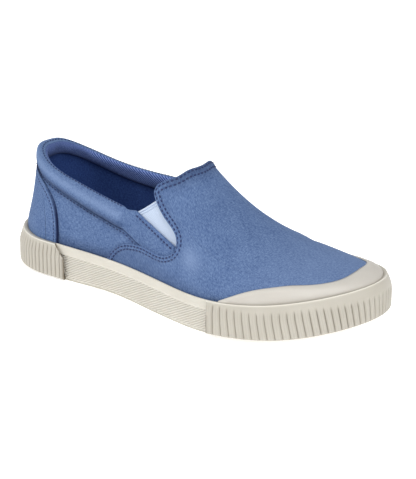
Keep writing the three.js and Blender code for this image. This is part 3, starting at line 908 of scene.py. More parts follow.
@dataclass(frozen=True)
class Rubber:
    """Warm white moulded rubber with a faint bloom and small scuffs."""

    name: str = "rubber"
    clean: Triple = (209, 205, 194)
    dull: Triple = (200, 195, 183)
    # Dark tone for dirt and painted shade.
    dirt_and_shade_tone: Triple = (112, 102, 86)
    # Pale tone of painted highlight on raised edges.
    painted_highlight: Triple = (236, 232, 221)
    roughness: float = 0.5
    cloud_scale: float = 60.0
    grain_scale: float = 2600.0
    rib_pitch: float = 0.0
    rib_slope: float = 0.53
    rib_height: float = 0.0004
    # Tone of painted shade between the ribs.
    groove: Triple = (158, 150, 134)

    def material(self) -> bpy.types.Material:
        """Two close tones by noise, and slanted ribs as a wave across the surface chart.

        Returns:
            The material.
        """
        book = NodeBook(self.name)
        place = book.place()
        cloud = book.noise(place, self.cloud_scale, 3.0)
        grain = book.noise(place, self.grain_scale, 2.0)
        tone = ((cloud - 0.5) * 1.6 + (grain - 0.5) * 0.5 + 0.5).held()
        base = book.tint(tone, colour(*self.dull), colour(*self.clean))
        height = grain * 0.06
        if self.rib_pitch > 0:
            along, up, _ = book.chart()
            turn = 2 * math.pi / self.rib_pitch * math.cos(math.atan(self.rib_slope))
            wave = ((up - along * self.rib_slope) * turn).sine() * 0.5 + 0.5
            ridge = wave.power(0.6)
            height = ridge + grain * 0.05
            # Troughs between the ribs tinted darker: painted shade in the grooves.
            base = book.tint(((1 - ridge) * 0.5).held(), base, colour(*self.groove))
        # The lip mark lightens raised edges: painted highlight.
        base = book.tint(book.mark("lip").held(), base, colour(*self.painted_highlight))
        # Darker in grooves, at ends and along joints: partly dirt, partly painted shade.
        base = book.tint((book.mark("dirt_and_shade") * 0.9).held(), base, colour(*self.dirt_and_shade_tone))
        normal = book.relief(height, self.rib_height)
        rough = (cloud - 0.5) * 0.18 + self.roughness
        return book.close(
            {
                "Base Color": base,
                "Roughness": rough,
                "Specular IOR Level": 0.4,
                "Subsurface Weight": 0.04,
                "Subsurface Radius": (0.004, 0.003, 0.002),
                "Normal": normal,
            }
        )


@dataclass(frozen=True)
class Elastic:
    """Pale woven elastic of the gores with fine cords."""

    name: str = "gore_elastic"
    deep: Triple = (169, 187, 214)
    light: Triple = (209, 220, 236)
    line: Triple = (118, 140, 178)
    cord: float = 0.0009
    pick: float = 0.8
    fibre_scale: float = 1800.0
    depth: float = 0.00008

    def material(self) -> bpy.types.Material:
        """Cords as a wave along the chart, broken by noise.

        Returns:
            The material.
        """
        book = NodeBook(self.name)
        across, along, chart = book.chart()
        cords = (across * (2 * math.pi / self.cord)).sine() * 0.5 + 0.5
        picks = (along * (2 * math.pi / (self.cord * self.pick))).sine() * 0.5 + 0.5
        noise = book.noise(chart, self.fibre_scale, 1.0)
        blend = (cords * 0.35 + picks * 0.15 + noise * 0.7 - 0.1).held()
        base = book.tint(blend, colour(*self.deep), colour(*self.light))
        base = book.tint(book.mark("hem").held(), base, colour(*self.line))
        normal = book.relief(cords * 0.7 + picks * 0.3, self.depth)
        return book.close({"Base Color": base, "Roughness": 0.8, "Sheen Weight": 0.2, "Normal": normal})


@dataclass(frozen=True)
class Thread:
    """Dark sewing thread with a two-ply twist."""

    name: str = "sewing_thread"
    deep: Triple = (14, 28, 70)
    light: Triple = (32, 52, 104)
    twist_scale: float = 3000.0
    depth: float = 0.00005

    def material(self) -> bpy.types.Material:
        """Twist as noise on object coordinates.

        Returns:
            The material.
        """
        book = NodeBook(self.name)
        noise = book.noise(book.place(), self.twist_scale, 1.0)
        base = book.tint(noise, colour(*self.deep), colour(*self.light))
        normal = book.relief(noise, self.depth)
        return book.close({"Base Color": base, "Roughness": 0.6, "Normal": normal})


@dataclass(frozen=True)
class Felt:
    """Soft dark textile of the insole."""

    name: str = "insole_textile"
    deep: Triple = (34, 48, 84)
    light: Triple = (58, 76, 120)
    fibre_scale: float = 1900.0
    wear_scale: float = 35.0
    depth: float = 0.00015

    def material(self) -> bpy.types.Material:
        """Short fibres as fine noise over a slow cloud of wear.

        Returns:
            The material.
        """
        book = NodeBook(self.name)
        fibre = book.noise(book.place(), self.fibre_scale, 3.0)
        cloud = book.noise(book.place(), self.wear_scale, 2.0)
        blend = (fibre * 0.7 + cloud * 0.5 - 0.1).held()
        base = book.tint(blend, colour(*self.deep), colour(*self.light))
        normal = book.relief(fibre, self.depth)
        return book.close({"Base Color": base, "Roughness": 0.95, "Sheen Weight": 0.3, "Normal": normal})


@dataclass(frozen=True)
class Paper:
    """Plain pale studio floor."""

    name: str = "studio_floor"
    tone: Triple = (252, 252, 252)
    speck: Triple = (250, 250, 250)
    glow: float = 0.5

    def material(self) -> bpy.types.Material:
        """Even pale sweep that also gives off a little light.

        Returns:
            The material.
        """
        book = NodeBook(self.name)
        grain = book.noise(book.place(), 4.0, 1.0)
        base = book.tint(grain, colour(*self.tone), colour(*self.speck))
        return book.close(
            {
                "Base Color": base,
                "Roughness": 0.9,
                "Specular IOR Level": 0.0,
                "Emission Color": (1.0, 1.0, 1.0, 1.0),
                "Emission Strength": self.glow,
            }
        )


class Finishes:
    """All materials of the shoe, made once."""

    def __init__(self) -> None:
        """Make each material."""
        self.canvas = Canvas().material()
        self.twill = Canvas(
            name="collar_twill", twill=True, deep=(46, 70, 132), light=(126, 148, 206), sheen=0.1
        ).material()
        # The lining is the canvas made darker: painted shade inside the shoe.
        self.lining = Canvas(
            name="lining", deep=(36, 62, 124), light=(70, 102, 170), sheen=0.02
        ).material()
        # Near-black canvas for the counter's rim: painted shade in the gap at its front edge.
        self.edge = Canvas(
            name="counter_edge_shade", deep=(12, 24, 58), light=(24, 38, 80), sheen=0.02
        ).material()
        self.rubber = Rubber().material()
        self.ribbed = Rubber(
            name="ribbed_rubber", clean=(217, 213, 203), dull=(208, 203, 192), rib_pitch=0.00145
        ).material()
        self.cap_rubber = Rubber(
            name="cap_rubber", clean=(202, 198, 190), dull=(194, 189, 181), roughness=0.42
        ).material()
        # A darker copy of the rubber: painted shade on both bumpers.
        self.bumper_rubber = Rubber(
            name="bumper_rubber", clean=(193, 188, 177), dull=(182, 177, 165)
        ).material()
        # Brown rubber for the bumpers' end faces: painted shade in the gap at each end.
        self.bumper_end_shade = Rubber(
            name="bumper_end_shade", clean=(150, 134, 110), dull=(126, 110, 88)
        ).material()
        self.elastic = Elastic().material()
        self.thread = Thread().material()
        self.felt = Felt().material()
        self.floor = Paper().material()


@dataclass
class SewnLine:
    """A row of stitches: dashes of thread let into the cloth along a line."""

    pitch: float = 2.9
    dash: float = 1.8
    radius: float = 0.54
    sink: float = 0.12
    sides: int = 6
    rings: tuple[Pair, ...] = (
        (-0.5, 0.02), (-0.46, 0.6), (-0.3, 0.95), (0.0, 1.0), (0.3, 0.95), (0.46, 0.6), (0.5, 0.02),
    )

    def template(self) -> Array:
        """One dash of unit length: each ring has a place along it and a swell.

        Returns:
            Rings by points by three, in the frame of run, normal and side.
        """
        place, swell = np.array(self.rings).T
        turn = np.arange(self.sides) * (2 * math.pi / self.sides)
        run = np.repeat(place[:, None], self.sides, axis=1)
        return np.stack([run, swell[:, None] * np.sin(turn), swell[:, None] * np.cos(turn)], axis=-1)

    def along(self, line: Array, normals: Array) -> tuple[Array, Array]:
        """Dashes along a dense line.

        The line's length is cut into whole pitches, and each dash is the template carried to
        the middle of its pitch, along the line's run and normal.

        Args:
            line: Dense points of the line.
            normals: Outward directions at the same points.

        Returns:
            Points and quads of all dashes.
        """
        length = lengths_along(line)
        count = max(int(round(length[-1] / self.pitch)), 1)
        at = (np.arange(count) + 0.5) * length[-1] / count

        def read(values: Array, places: Array) -> Array:
            """Values of the line at lengths along it."""
            return np.stack([np.interp(places, length, values[:, k]) for k in range(3)], axis=1)

        half = self.dash / 2
        tail, head = read(line, at - half), read(line, at + half)
        run = head - tail
        run /= np.linalg.norm(run, axis=1, keepdims=True)
        normal = read(normals, at)
        normal -= (normal * run).sum(axis=1, keepdims=True) * run
        normal /= np.linalg.norm(normal, axis=1, keepdims=True)
        side = np.cross(run, normal)
        base = read(line, at) + normal * (self.radius * 0.4 - self.sink)
        shape = self.template().reshape(-1, 3)
        points = (
            base[:, None, :]
            + run[:, None, :] * (shape[None, :, :1] * self.dash)
            + normal[:, None, :] * (shape[None, :, 1:2] * self.radius)
            + side[:, None, :] * (shape[None, :, 2:3] * self.radius)
        )
        quads = grid_faces(len(self.rings), self.sides, close_columns=True)
        faces = quads[None, :, :] + np.arange(count)[:, None, None] * len(shape)
        return points.reshape(-1, 3), faces.reshape(-1, 4)


class Stitching:
    """Collects every sewn line of the shoe into one piece."""

    def __init__(self) -> None:
        """Start with no dashes."""
        self.points: list[Array] = []
        self.faces: list[Array] = []
        self.size = 0

    def add(self, line: Array, normals: Array, style: SewnLine) -> None:
        """Sew one line.

        Args:
            line: Dense points of the line.
            normals: Outward directions at the same points.
            style: The kind of stitch.
        """
        points, faces = style.along(line, normals)
        self.points.append(points)
        self.faces.append(faces + self.size)
        self.size += len(points)

    def build(self, shop: Workshop) -> None:
        """Make the one piece of all dashes.

        Args:
            shop: Makes the object.
        """
        points = np.concatenate(self.points)
        faces = np.concatenate(self.faces)
        skin = Skin(points, [faces], np.zeros((len(points), 2)), np.zeros(len(faces), dtype=int))
        shop.make("stitches", skin, [shop.finishes.thread])


@dataclass(frozen=True)
class Fold:
    """Trough or ridge that runs down from the instep: a bell along the length times one round it.

    Its place moves along the length by the slope times the turn past the pivot.
    """

    height: float
    place: float
    slope: float
    pivot: float
    spread: float
    turn: float
    width: float

    def rise(self, x: Array, side: Array) -> Array:
        """Extra growth at a place along the length and a turn from the nearer base."""
        along = x - self.place - (side - self.pivot) * self.slope
        return self.height * bump(along, 0.0, self.spread) * bump(side, self.turn, self.width)


@dataclass(frozen=True)
class LongFold:
    """Trough or ridge that runs along the vamp: a bell round the section times one along it."""

    height: float
    turn: float
    width: float
    place: float
    spread: float
    start: float = 45.0
    climb: float = 0.004

    def rise(self, x: Array, side: Array) -> Array:
        """Extra growth at a place along the length and a turn from the nearer base."""
        off = side - self.turn - (x - self.start) * self.climb
        return self.height * bump(off, 0.0, self.width) * bump(x, self.place, self.spread)


@dataclass
class Vamp:
    """Front of the upper: one canvas piece from the gores and the throat to the toe.

    The rear edge is drawn in the side view, and the rest of the grid leaves it. The knots
    are the turns at which the hem's rows leave, in degrees from the nearer base, and the
    goals are the turns that the same rows reach at the guide section.
    """

    form: Form
    step: float = 0.5
    seat: float = 0.55
    thickness: float = 2.0
    edge_round: float = 0.7
    hem_lift: float = 0.8
    hem_start: float = 2.6
    hem_width: float = 4.2
    hem_steps: Rows = (0.0, 0.06, 0.16, 0.3, 0.5, 0.75, 1.05, 1.4, 1.75, 2.1, 2.5, 2.9, 3.4, 3.8, 4.2)
    stitch_rows: Pair = (1.4, 3.4)
    stitch_sink: float = 0.38
    stitch_spread: float = 0.45
    guide: float = 36.0
    knots: Rows = (-20.0, 0.0, 9.0, 14.0, 24.0, 35.0, 40.0, 54.0, 90.0)
    goals: Rows = (-20.0, 0.0, 6.0, 11.0, 21.0, 33.0, 39.0, 54.0, 90.0)
    rows: int = 241
    ruled_columns: int = 36
    toe_columns: int = 44
    tip_gap: float = 0.02
    cap_settle: float = 0.15
    halo_wear: float = 0.55
    # Painted highlight on the toe; painted shade at the foot and along the brow at the throat.
    toe_highlight: float = 0.26
    foot_painted_shade: float = 0.22
    brow_painted_shade: float = 0.4
    turn_scale: float = 40.0
    folds: tuple[Fold, ...] = (
        Fold(height=0.5, place=21.0, slope=12.0, pivot=0.36, spread=5.5, turn=0.36, width=0.22),
        Fold(height=-0.55, place=32.0, slope=22.0, pivot=0.3, spread=6.0, turn=0.3, width=0.24),
        Fold(height=-0.5, place=68.0, slope=-5.0, pivot=0.9, spread=4.0, turn=1.0, width=0.5),
        Fold(height=0.35, place=60.0, slope=-5.0, pivot=0.9, spread=4.5, turn=1.0, width=0.5),
    )
    long_folds: tuple[LongFold, ...] = (
        LongFold(height=-0.45, turn=0.42, width=0.10, place=47.0, spread=17.0),
        LongFold(height=0.4, turn=0.66, width=0.16, place=45.0, spread=20.0),
    )
    edge: tuple[Pair, ...] = (
        (-47.5, -8.0), (-43.3, 0.0), (-38.3, 7.5), (-30.9, 12.8), (-20.9, 15.5), (-11.0, 16.2),
        (-1.1, 15.5), (6.3, 16.3), (12.1, 19.4), (14.6, 23.1), (13.8, 28.1), (9.6, 32.6),
        (-0.3, 39.3), (-7.7, 46.8), (-9.4, 50.8), (-7.9, 55.0), (-4.5, 57.5), (1.9, 60.5),
        (5.1, 63.4),
    )
    crest: float = 7.2

    def edge_walk(self) -> tuple[Array, Array]:
        """The whole rear edge, lateral base over the throat to medial base.

        The side view's points are set on each side's wall, turned into places and turns
        round the section, and walked evenly.

        Returns:
            Places along the length and turns in radians.
        """
        side = np.array(self.edge)
        halves = []
        for half in Side:
            points = self.form.wall(side[:, 0], side[:, 1], float(half.value), 0.0)
            turns = self.form.turn_of(points, 0.0) * self.turn_scale
            halves.append(np.stack([side[:, 0], turns], axis=1))
        crest = np.array([[self.crest, math.pi / 2 * self.turn_scale]])
        walk = through(np.vstack([halves[0], crest, halves[1][::-1]]), 2000)
        placed = self.form.section(walk[:, 0], walk[:, 1] / self.turn_scale, 0.0)
        even = even_walk(np.hstack([placed, walk]), self.rows)
        return even[:, 3], even[:, 4] / self.turn_scale

    def hem(self, distance: Array) -> tuple[Array, Array]:
        """Places and turns at distances in from the edge.

        Each point leaves the edge square to it, along the cloth, and is set back on the form.

        Args:
            distance: Distances in from the edge.

        Returns:
            Places and turns, rows of the edge by distances.
        """
        x, turn = self.edge_walk()
        edge = self.form.section(x, turn, self.step)
        lifted = self.form.section(x, turn, self.step + 1.0)
        run = np.gradient(edge, axis=0)
        inward = np.cross(run, lifted - edge)
        inward /= np.linalg.norm(inward, axis=1, keepdims=True)
        points = edge[:, None, :] + inward[:, None, :] * distance[None, :, None]
        turned = self.form.turn_of(points, self.step)
        return points[..., 0], turned

    def profile(self, distance: Array) -> Array:
        """How far the outer face stands off the form at a distance in from the edge.

        A quarter round at the edge, a folded hem that dies out, and two sewn troughs.

        Args:
            distance: Distances in from the edge.

        Returns:
            The growth of the form.
        """
        hem = self.hem_lift * (1 - smooth_step(distance, self.hem_start, self.hem_width))
        rounded = (self.step + self.seat + hem) * quarter_round(distance / self.edge_round)
        first, second = (bump(distance, row, self.stitch_spread) for row in self.stitch_rows)
        return -self.seat + rounded - self.stitch_sink * (first + second)

    def chart(self, x: Array, turn: Array) -> Array:
        """Surface coordinates: place along the length and girth from the crest.

        The girth of each section is summed in small steps once and then read back.

        Args:
            x: Places along the length.
            turn: Turns in radians.

        Returns:
            The coordinates in millimetres.
        """
        toe = self.form.length / 2 - self.form.inset - self.form.toe_tuck
        places = np.linspace(-50.0, toe, 140)
        turns = np.linspace(-0.2, math.pi + 0.2, 240)
        girth = lengths_along(self.form.section(places[:, None], turns[None, :], 0.0))
        middle = len(turns) // 2
        girth -= girth[:, [middle - 1]] / 2 + girth[:, [middle]] / 2
        a = np.clip((x - places[0]) / (places[1] - places[0]), 0, len(places) - 1.001)
        b = np.clip((turn - turns[0]) / (turns[1] - turns[0]), 0, len(turns) - 1.001)
        i, j = a.astype(int), b.astype(int)
        f, g = a - i, b - j
        near = girth[i, j] * (1 - g) + girth[i, j + 1] * g
        far = girth[i + 1, j] * (1 - g) + girth[i + 1, j + 1] * g
        return np.stack([x, near * (1 - f) + far * f], axis=-1)

    def lay(self) -> tuple[Array, Array, Array]:
        """Hem band, ruled part to the guide section and toe part in one grid.

        Past the guide section every row keeps its turn up to the tip, with columns that
        crowd towards it.

        Returns:
            Places along the length, turns in radians and growth of the outer face.
        """
        profile = self.profile(np.array(self.hem_steps))
        x, turn = self.hem(np.array(self.hem_steps))
        last = turn[:, -1:]
        goal = np.interp(nearer(last), np.radians(self.knots), np.radians(self.goals))
        goal = np.where(last > math.pi / 2, math.pi - goal, goal)
        s = np.linspace(0.0, 1.0, self.ruled_columns)[1:]
        ruled_x = x[:, -1:] * (1 - s) + self.guide * s
        ruled_turn = last * (1 - s) + goal * s
        tip = self.form.length / 2 - self.form.inset + self.step - self.form.toe_tuck - self.tip_gap
        s2 = 1 - (1 - np.linspace(0.0, 1.0, self.toe_columns)[1:]) ** 2
        toe_x = np.repeat(self.guide + (tip - self.guide) * s2[None, :], len(goal), axis=0)
        toe_turn = np.repeat(goal, len(s2), axis=1)
        places = np.hstack([x, ruled_x, toe_x])
        turns = np.hstack([turn, ruled_turn, toe_turn])
        growth = np.full(places.shape, profile[-1])
        growth[:, : len(profile)] = profile
        side = nearer(turns)
        folds = sum(fold.rise(places, side) for fold in self.folds + self.long_folds)
        settle = smooth_step(places, 60.0, 72.0) * bump(side, 0.0, 0.6)
        growth += folds * smooth_step(places, -30.0, -10.0) - self.cap_settle * settle
        return places, turns, growth

    def marks(self, places: Array, turns: Array) -> dict[str, Array]:
        """Pale halo in front of the gore, painted highlight on the toe; painted shade at the foot and along
        a brow at the throat.

        Args:
            places: Places along the length.
            turns: Turns in radians.

        Returns:
            Shares of the paler tone, for wear and painted highlight, and of the painted shade.
        """
        side = nearer(turns)
        halo = bump(places, 27.0, 7.0) * bump(side, 0.455, 0.15)
        # The toe's paler tone is painted highlight.
        worn = self.halo_wear * halo + self.toe_highlight * smooth_step(places, 40.0, 100.0)
        # Painted shade low on the sides, and a darker brow along the throat.
        foot = (1 - smooth_step(side, 0.02, 0.2)) * (1 - smooth_step(places, 40.0, 80.0))
        brow = (1 - smooth_step(np.arange(places.shape[1]), 8.0, 22.0)) * smooth_step(side, 0.6, 1.1)
        return {"worn": worn, "ink": self.foot_painted_shade * foot + self.brow_painted_shade * brow}

    def sew(self, sewing: Stitching) -> None:
        """Sew the double row along the edge, down to the foxing.

        Args:
            sewing: Takes the lines.
        """
        for row in self.stitch_rows:
            x, turn = self.hem(np.array([row]))
            lift = self.profile(np.array([row]))[0]
            line = self.form.section(x[:, 0], turn[:, 0], lift)
            above = self.form.section(x[:, 0], turn[:, 0], lift + 1.0)
            shown = line[:, 2] > self.form.foxing_top(line[:, 0]) - 1.0
            sewing.add(line[shown], (above - line)[shown], SewnLine())

    def build(self, shop: Workshop, sewing: Stitching) -> None:
        """Shell between the grown grid and the same grid on the inner side of the cloth.

        Args:
            shop: Makes the object.
            sewing: Takes the double row along the edge.
        """
        places, turns, growth = self.lay()
        outer = self.form.section(places, turns, growth)
        inner = self.form.section(places, turns, -self.thickness)
        skin = shell(outer, inner, self.chart(places, turns), self.marks(places, turns))
        tones = [shop.finishes.canvas, shop.finishes.lining, shop.finishes.canvas]
        piece = shop.make("vamp_canvas", skin, tones)
        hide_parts("vamp")
        self.sew(sewing)


@dataclass
class TopLine:
    """Heights of the collar's top line and of the seam under its padding."""

    form: Form
    rise: float = 55.0
    height: Rows = (1.240, 0.885, 0.765, 0.695, 0.667, 0.680)
    tilt: Rows = (-0.030, -0.030, -0.030, 0.018, 0.056, 0.064)
    band: Rows = (0.180, 0.155, 0.190, 0.210, 0.228, 0.236)
    reach: float = 28.0
    corner: float = -22.6
    corner_lift: float = 1.5
    gore_end: Pair = (13.0, 23.0)
    seam_turn: float = -30.0
    seam_places: Rows = (-30.0, -18.5, -8.0, 14.0)
    seam_drops: Rows = (0.0, 0.62, 1.0, 1.0)
    seam_front: float = 14.2

    def plain(self, x: Array, y: Array) -> Array:
        """Padded top line: a smooth curve along the length plus a tilt across."""
        t = self.form.share(x) * 2
        tilt = self.form.curve(t, self.tilt) * y / self.reach
        return self.rise * (self.form.curve(t, self.height) + tilt)

    def top(self, x: Array, y: Array) -> Array:
        """Top line to the corner of the gore, then straight down along the gore.

        Args:
            x: Places along the length.
            y: Places across.

        Returns:
            Heights over the foxing.
        """
        held = np.minimum(x, self.corner)
        start = self.plain(held, y) + self.corner_lift * smooth_step(held, self.seam_turn, self.corner)
        way = np.clip((x - self.corner) / (self.gore_end[0] - self.corner), 0.0, 1.1)
        return start + (self.gore_end[1] - start) * way

    def seam(self, x: Array, y: Array) -> Array:
        """Sewn seam under the padding, which runs down to the vamp's edge in front.

        Args:
            x: Places along the length.
            y: Places across.

        Returns:
            Heights over the foxing.
        """
        held = np.minimum(x, self.seam_turn)
        rear = self.plain(held, y) - self.rise * self.form.curve(self.form.share(held) * 2, self.band)
        drop = np.interp(x, self.seam_places, self.seam_drops)
        return rear + (self.seam_front - rear) * drop


@dataclass
class Quarter:
    """Rear of the upper under the collar: one canvas piece from side to side."""

    form: Form
    line: TopLine
    thickness: float = 2.0
    foot: float = -8.0
    over_seam: float = 1.6
    rows: int = 34
    columns: int = 261
    front_shares: Rows = (0.0, 0.33, 0.62, 0.82, 1.0)
    front_places: Rows = (-40.0, -36.0, -28.0, -20.0, -7.0)
    # Painted shadow in the crease under the seam, painted shade below it and painted shade near the foxing.
    seam_painted_shade: Pair = (0.5, 0.22)
    foot_painted_shade: float = 0.42

    def height_fn(self, share: Array) -> Callable[[Array, Array], Array]:
        """Height over the foxing at shares of the way from the foot to just over the seam."""

        def height(x: Array, y: Array) -> Array:
            """Foot height plus the share of the wall."""
            return self.foot + (self.line.seam(x, y) + self.over_seam - self.foot) * share

        return height

    def growth(self, x: Array, below: Array) -> Array:
        """Growth of the outer face: tucked in over the seam, full below it, one soft fold.

        Args:
            x: Places along the length.
            below: Distances below the seam.

        Returns:
            The growth of the form.
        """
        seam = 0.22 * bump(below, 3.5, 2.6) - 1.1 * (1 - smooth_step(below, -1.2, 0.9))
        slanted = x + (below - 8.0) * 0.8
        return seam + 0.3 * bump(slanted, -56.0, 6.0) - 0.35 * bump(slanted, -66.0, 7.0)

    def build(self, shop: Workshop) -> None:
        """Grid of rays by heights, its front ends tucked under the vamp.

        Args:
            shop: Makes the object.
        """
        share = np.linspace(0.0, 1.0, self.rows)[:, None]
        front = np.interp(share, self.front_shares, self.front_places)
        u = self.form.ray_at(front) * np.linspace(1.0, -1.0, self.columns)[None, :]
        height = self.height_fn(np.broadcast_to(share, u.shape))
        flat = self.form.side_point(u, height, 0.0)
        x, z = flat[..., 0], flat[..., 2]
        below = self.line.seam(x, flat[..., 1]) - (z - self.form.foxing_top(x))
        outer = self.form.side_point(u, height, self.growth(x, below))
        inner = self.form.side_point(u, height, -self.thickness)
        low = outer[..., 2] - self.form.foxing_top(outer[..., 0])
        # Painted shadow under the roll's seam, painted shade below it and towards the foxing.
        crease, shade = self.seam_painted_shade
        ink = crease * (1 - smooth_step(below, 0.4, 1.3)) + shade * (1 - smooth_step(below, 1.0, 6.0))
        ink += self.foot_painted_shade * (1 - smooth_step(low, 0.5, 9.0))
        uv = np.stack([u * RAY_RUN, z], axis=-1)
        skin = shell(outer, inner, uv, {"ink": np.clip(ink, 0.0, 1.0)})
        tones = [shop.finishes.canvas, shop.finishes.lining, shop.finishes.canvas]
        piece = shop.make("quarter_canvas", skin, tones)
        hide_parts("quarter")


@dataclass
class Collar:
    """Padded roll round the opening that goes flat towards both gores."""

    form: Form
    line: TopLine
    padding: float = 7.0
    thickness: float = 2.0
    roll_end: float = -31.8
    roll_run: float = 4.5
    section: tuple[Pair, ...] = (
        (0.00, -0.20), (0.02, 0.06), (0.15, 0.36), (0.42, 0.52), (0.72, 0.44), (0.92, 0.10),
        (1.00, -0.34), (0.94, -0.64), (0.72, -0.78), (0.35, -0.74), (0.08, -0.58), (0.00, -0.36),
    )
    fill: float = 0.6
    loop: int = 52
    heel_thin: float = 0.38
    lump: float = 0.07
    lump_turns: float = 95.0
    pinch: float = 0.3
    wave: float = 0.12
    # Weight of the painted highlight along the roll's upper middle.
    worn: float = 0.5
    seam_drop: float = 1.9
    lining_share: float = 0.26

    def stations(self) -> Array:
        """Ray numbers from the lateral gore round the heel to the medial gore.

        Returns:
            The rays, with one exactly at each corner of the top line.
        """
        front = self.form.ray_at(np.linspace(13.4, self.line.corner, 26))
        side = self.form.ray_at(np.linspace(self.line.corner, self.form.heel_centre, 64))[1:]
        heel = np.linspace(self.form.heel_fan, 0.0, 40)[1:]
        half = np.concatenate([front, side, heel])
        return np.concatenate([half, -half[::-1][1:]])

    def build(self, shop: Workshop, sewing: Stitching) -> None:
        """Loft of the roll's section, flattened by distance from the end of the roll.

        Args:
            shop: Makes the object.
            sewing: Takes the rows along the seam and the gores.
        """
        profile = through(np.array(self.section), self.loop)
        u = self.stations()[:, None]
        up, out = profile[None, :, 0], profile[None, :, 1]
        x = np.where(np.abs(u) >= self.form.heel_fan, self.along(np.abs(u)), self.form.heel_centre)
        puff = quarter_round((self.roll_end - x) / self.roll_run)

        def height(px: Array, py: Array) -> Array:
            """Seam height plus the share of the band."""
            seam = self.line.seam(px, py)
            return seam + (self.line.top(px, py) - seam) * up

        points = self.form.side_point(u, height, self.growth(u, x, up, out))
        girth = lengths_along(points)
        uv = np.stack([np.broadcast_to(u * RAY_RUN, girth.shape), girth], axis=-1)
        outside = np.arange(self.loop) < int(np.argmax(profile[:, 0])) + 2
        layers = np.where(outside, Layer.OUTER.value, Layer.INNER.value)
        # Painted shade: darker towards the roll's lower seam outside, under the twill roll and at the heel
        # inside.
        crease = 0.3 * (1 - smooth_step(up, 0.0, 0.1)) + 0.7 * (1 - smooth_step(up, 0.0, 0.55))
        inside = 0.6 * (1 - smooth_step(up, 0.0, 0.2)) + 0.4 * bump(u, 0.0, self.form.heel_fan)
        ink = np.where(outside, crease * (0.1 + 0.9 * puff), inside)
        # Painted highlight along the roll's upper middle.
        worn = self.worn * bump(up, 0.7, 0.2) * outside * puff
        marks = {"ink": np.clip(ink, 0.0, 1.0), "worn": worn}
        skin = loop_loft(points, uv, layers, closed=False, marks=marks)
        tones = [shop.finishes.canvas, shop.finishes.twill, shop.finishes.canvas]
        piece = shop.make("collar_roll", skin, tones)
        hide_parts("collar")
        self.sew_seam(sewing)
        self.sew_lining(sewing)
        self.sew_gores(sewing)

    def growth(self, u: Array, x: Array, up: Array, out: Array) -> Array:
        """Growth of the form at the points of the roll.

        The padded section, thinner outside at the heel and a little lumpy, goes over into a
        flat one where the roll ends, with a pinch and a low wave in front of its end.

        Args:
            u: Ray numbers.
            x: Places along the length.
            up: Height shares of the section.
            out: Shares of the padding that the section stands out.

        Returns:
            The growth.
        """
        thin = 1 - self.heel_thin * (1 - smooth_step(np.abs(u), 0.05, 0.15)) * (out > 0)
        full = out * self.padding * thin
        lumps = 1 + self.lump * np.sin(u * self.lump_turns) * bump(up, 0.5, 0.4)
        flat = np.clip(full, -self.thickness, 0.0)
        puff = quarter_round((self.roll_end - x) / self.roll_run)
        pinch = self.pinch * bump(x, self.roll_end + 0.4, 1.6) * bump(up, 0.55, 0.5) * (out > -0.3)
        wave = self.wave * bump(x, self.roll_end + 4.5, 1.7) * bump(up, 0.6, 0.35) * (out > -0.2)
        return flat + (full * lumps - flat) * puff - pinch + wave

    def along(self, u: Array) -> Array:
        """Place along the side of a ray."""
        span = self.form.toe_centre - self.form.heel_centre
        return self.form.heel_centre + (u - self.form.heel_fan) / self.form.side_run * span

    def round_heel(self, front: float) -> Array:
        """Rays from a place on the lateral side round the heel to the same on the medial."""
        side = self.form.ray_at(np.linspace(front, self.form.heel_centre, 120))
        half = np.concatenate([side, np.linspace(self.form.heel_fan, 0.0, 60)[1:]])
        return np.concatenate([half, -half[::-1][1:]])

    def sew_lining(self, sewing: Stitching) -> None:
        """Sew the inner edge where the canvas of the roll meets its twill lining.

        Args:
            sewing: Takes the line.
        """
        u = self.round_heel(self.roll_end - 3.0)

        def height(x: Array, y: Array) -> Array:
            """Just over the top of the roll, sunk deeper on the medial side."""
            return self.line.top(x, y) + np.where(u > -0.03, 0.3, 0.05)

        grow = -self.lining_share * self.padding
        base = self.form.side_point(u, height, grow)
        inward = self.form.side_point(u, height, grow - 1.0) - base
        inward[:, 2] += 1.0
        sewing.add(base, inward, SewnLine(radius=0.34, dash=1.5, pitch=2.6))

    def sew_seam(self, sewing: Stitching) -> None:
        """Sew the row under the padding, which climbs on to the counter at the heel.

        Args:
            sewing: Takes the line.
        """
        u = self.round_heel(-13.0)

        def seam(x: Array, y: Array) -> Array:
            """Just under the seam."""
            return self.line.seam(x, y) - self.seam_drop

        lift = 0.1 + 1.1 * (1 - smooth_step(np.abs(u), 0.07, 0.09))
        base = self.form.side_point(u, seam, lift)
        above = self.form.side_point(u, seam, lift + 1.0)
        sewing.add(base, above - base, SewnLine(radius=0.38))

    def sew_gores(self, sewing: Stitching) -> None:
        """Sew the edge along each gore.

        Args:
            sewing: Takes the lines.
        """
        x = np.linspace(11.5, self.line.corner + 1.2, 60)
        middle = self.form.sides(x, self.form.inset)[0]
        for side in Side:
            edge = self.line.top(x, middle + side.value * 25.0) - 1.7
            line = self.form.wall(x, edge, float(side.value), 0.0)
            lifted = self.form.wall(x, edge, float(side.value), 1.0)
            sewing.add(line, lifted - line, SewnLine())


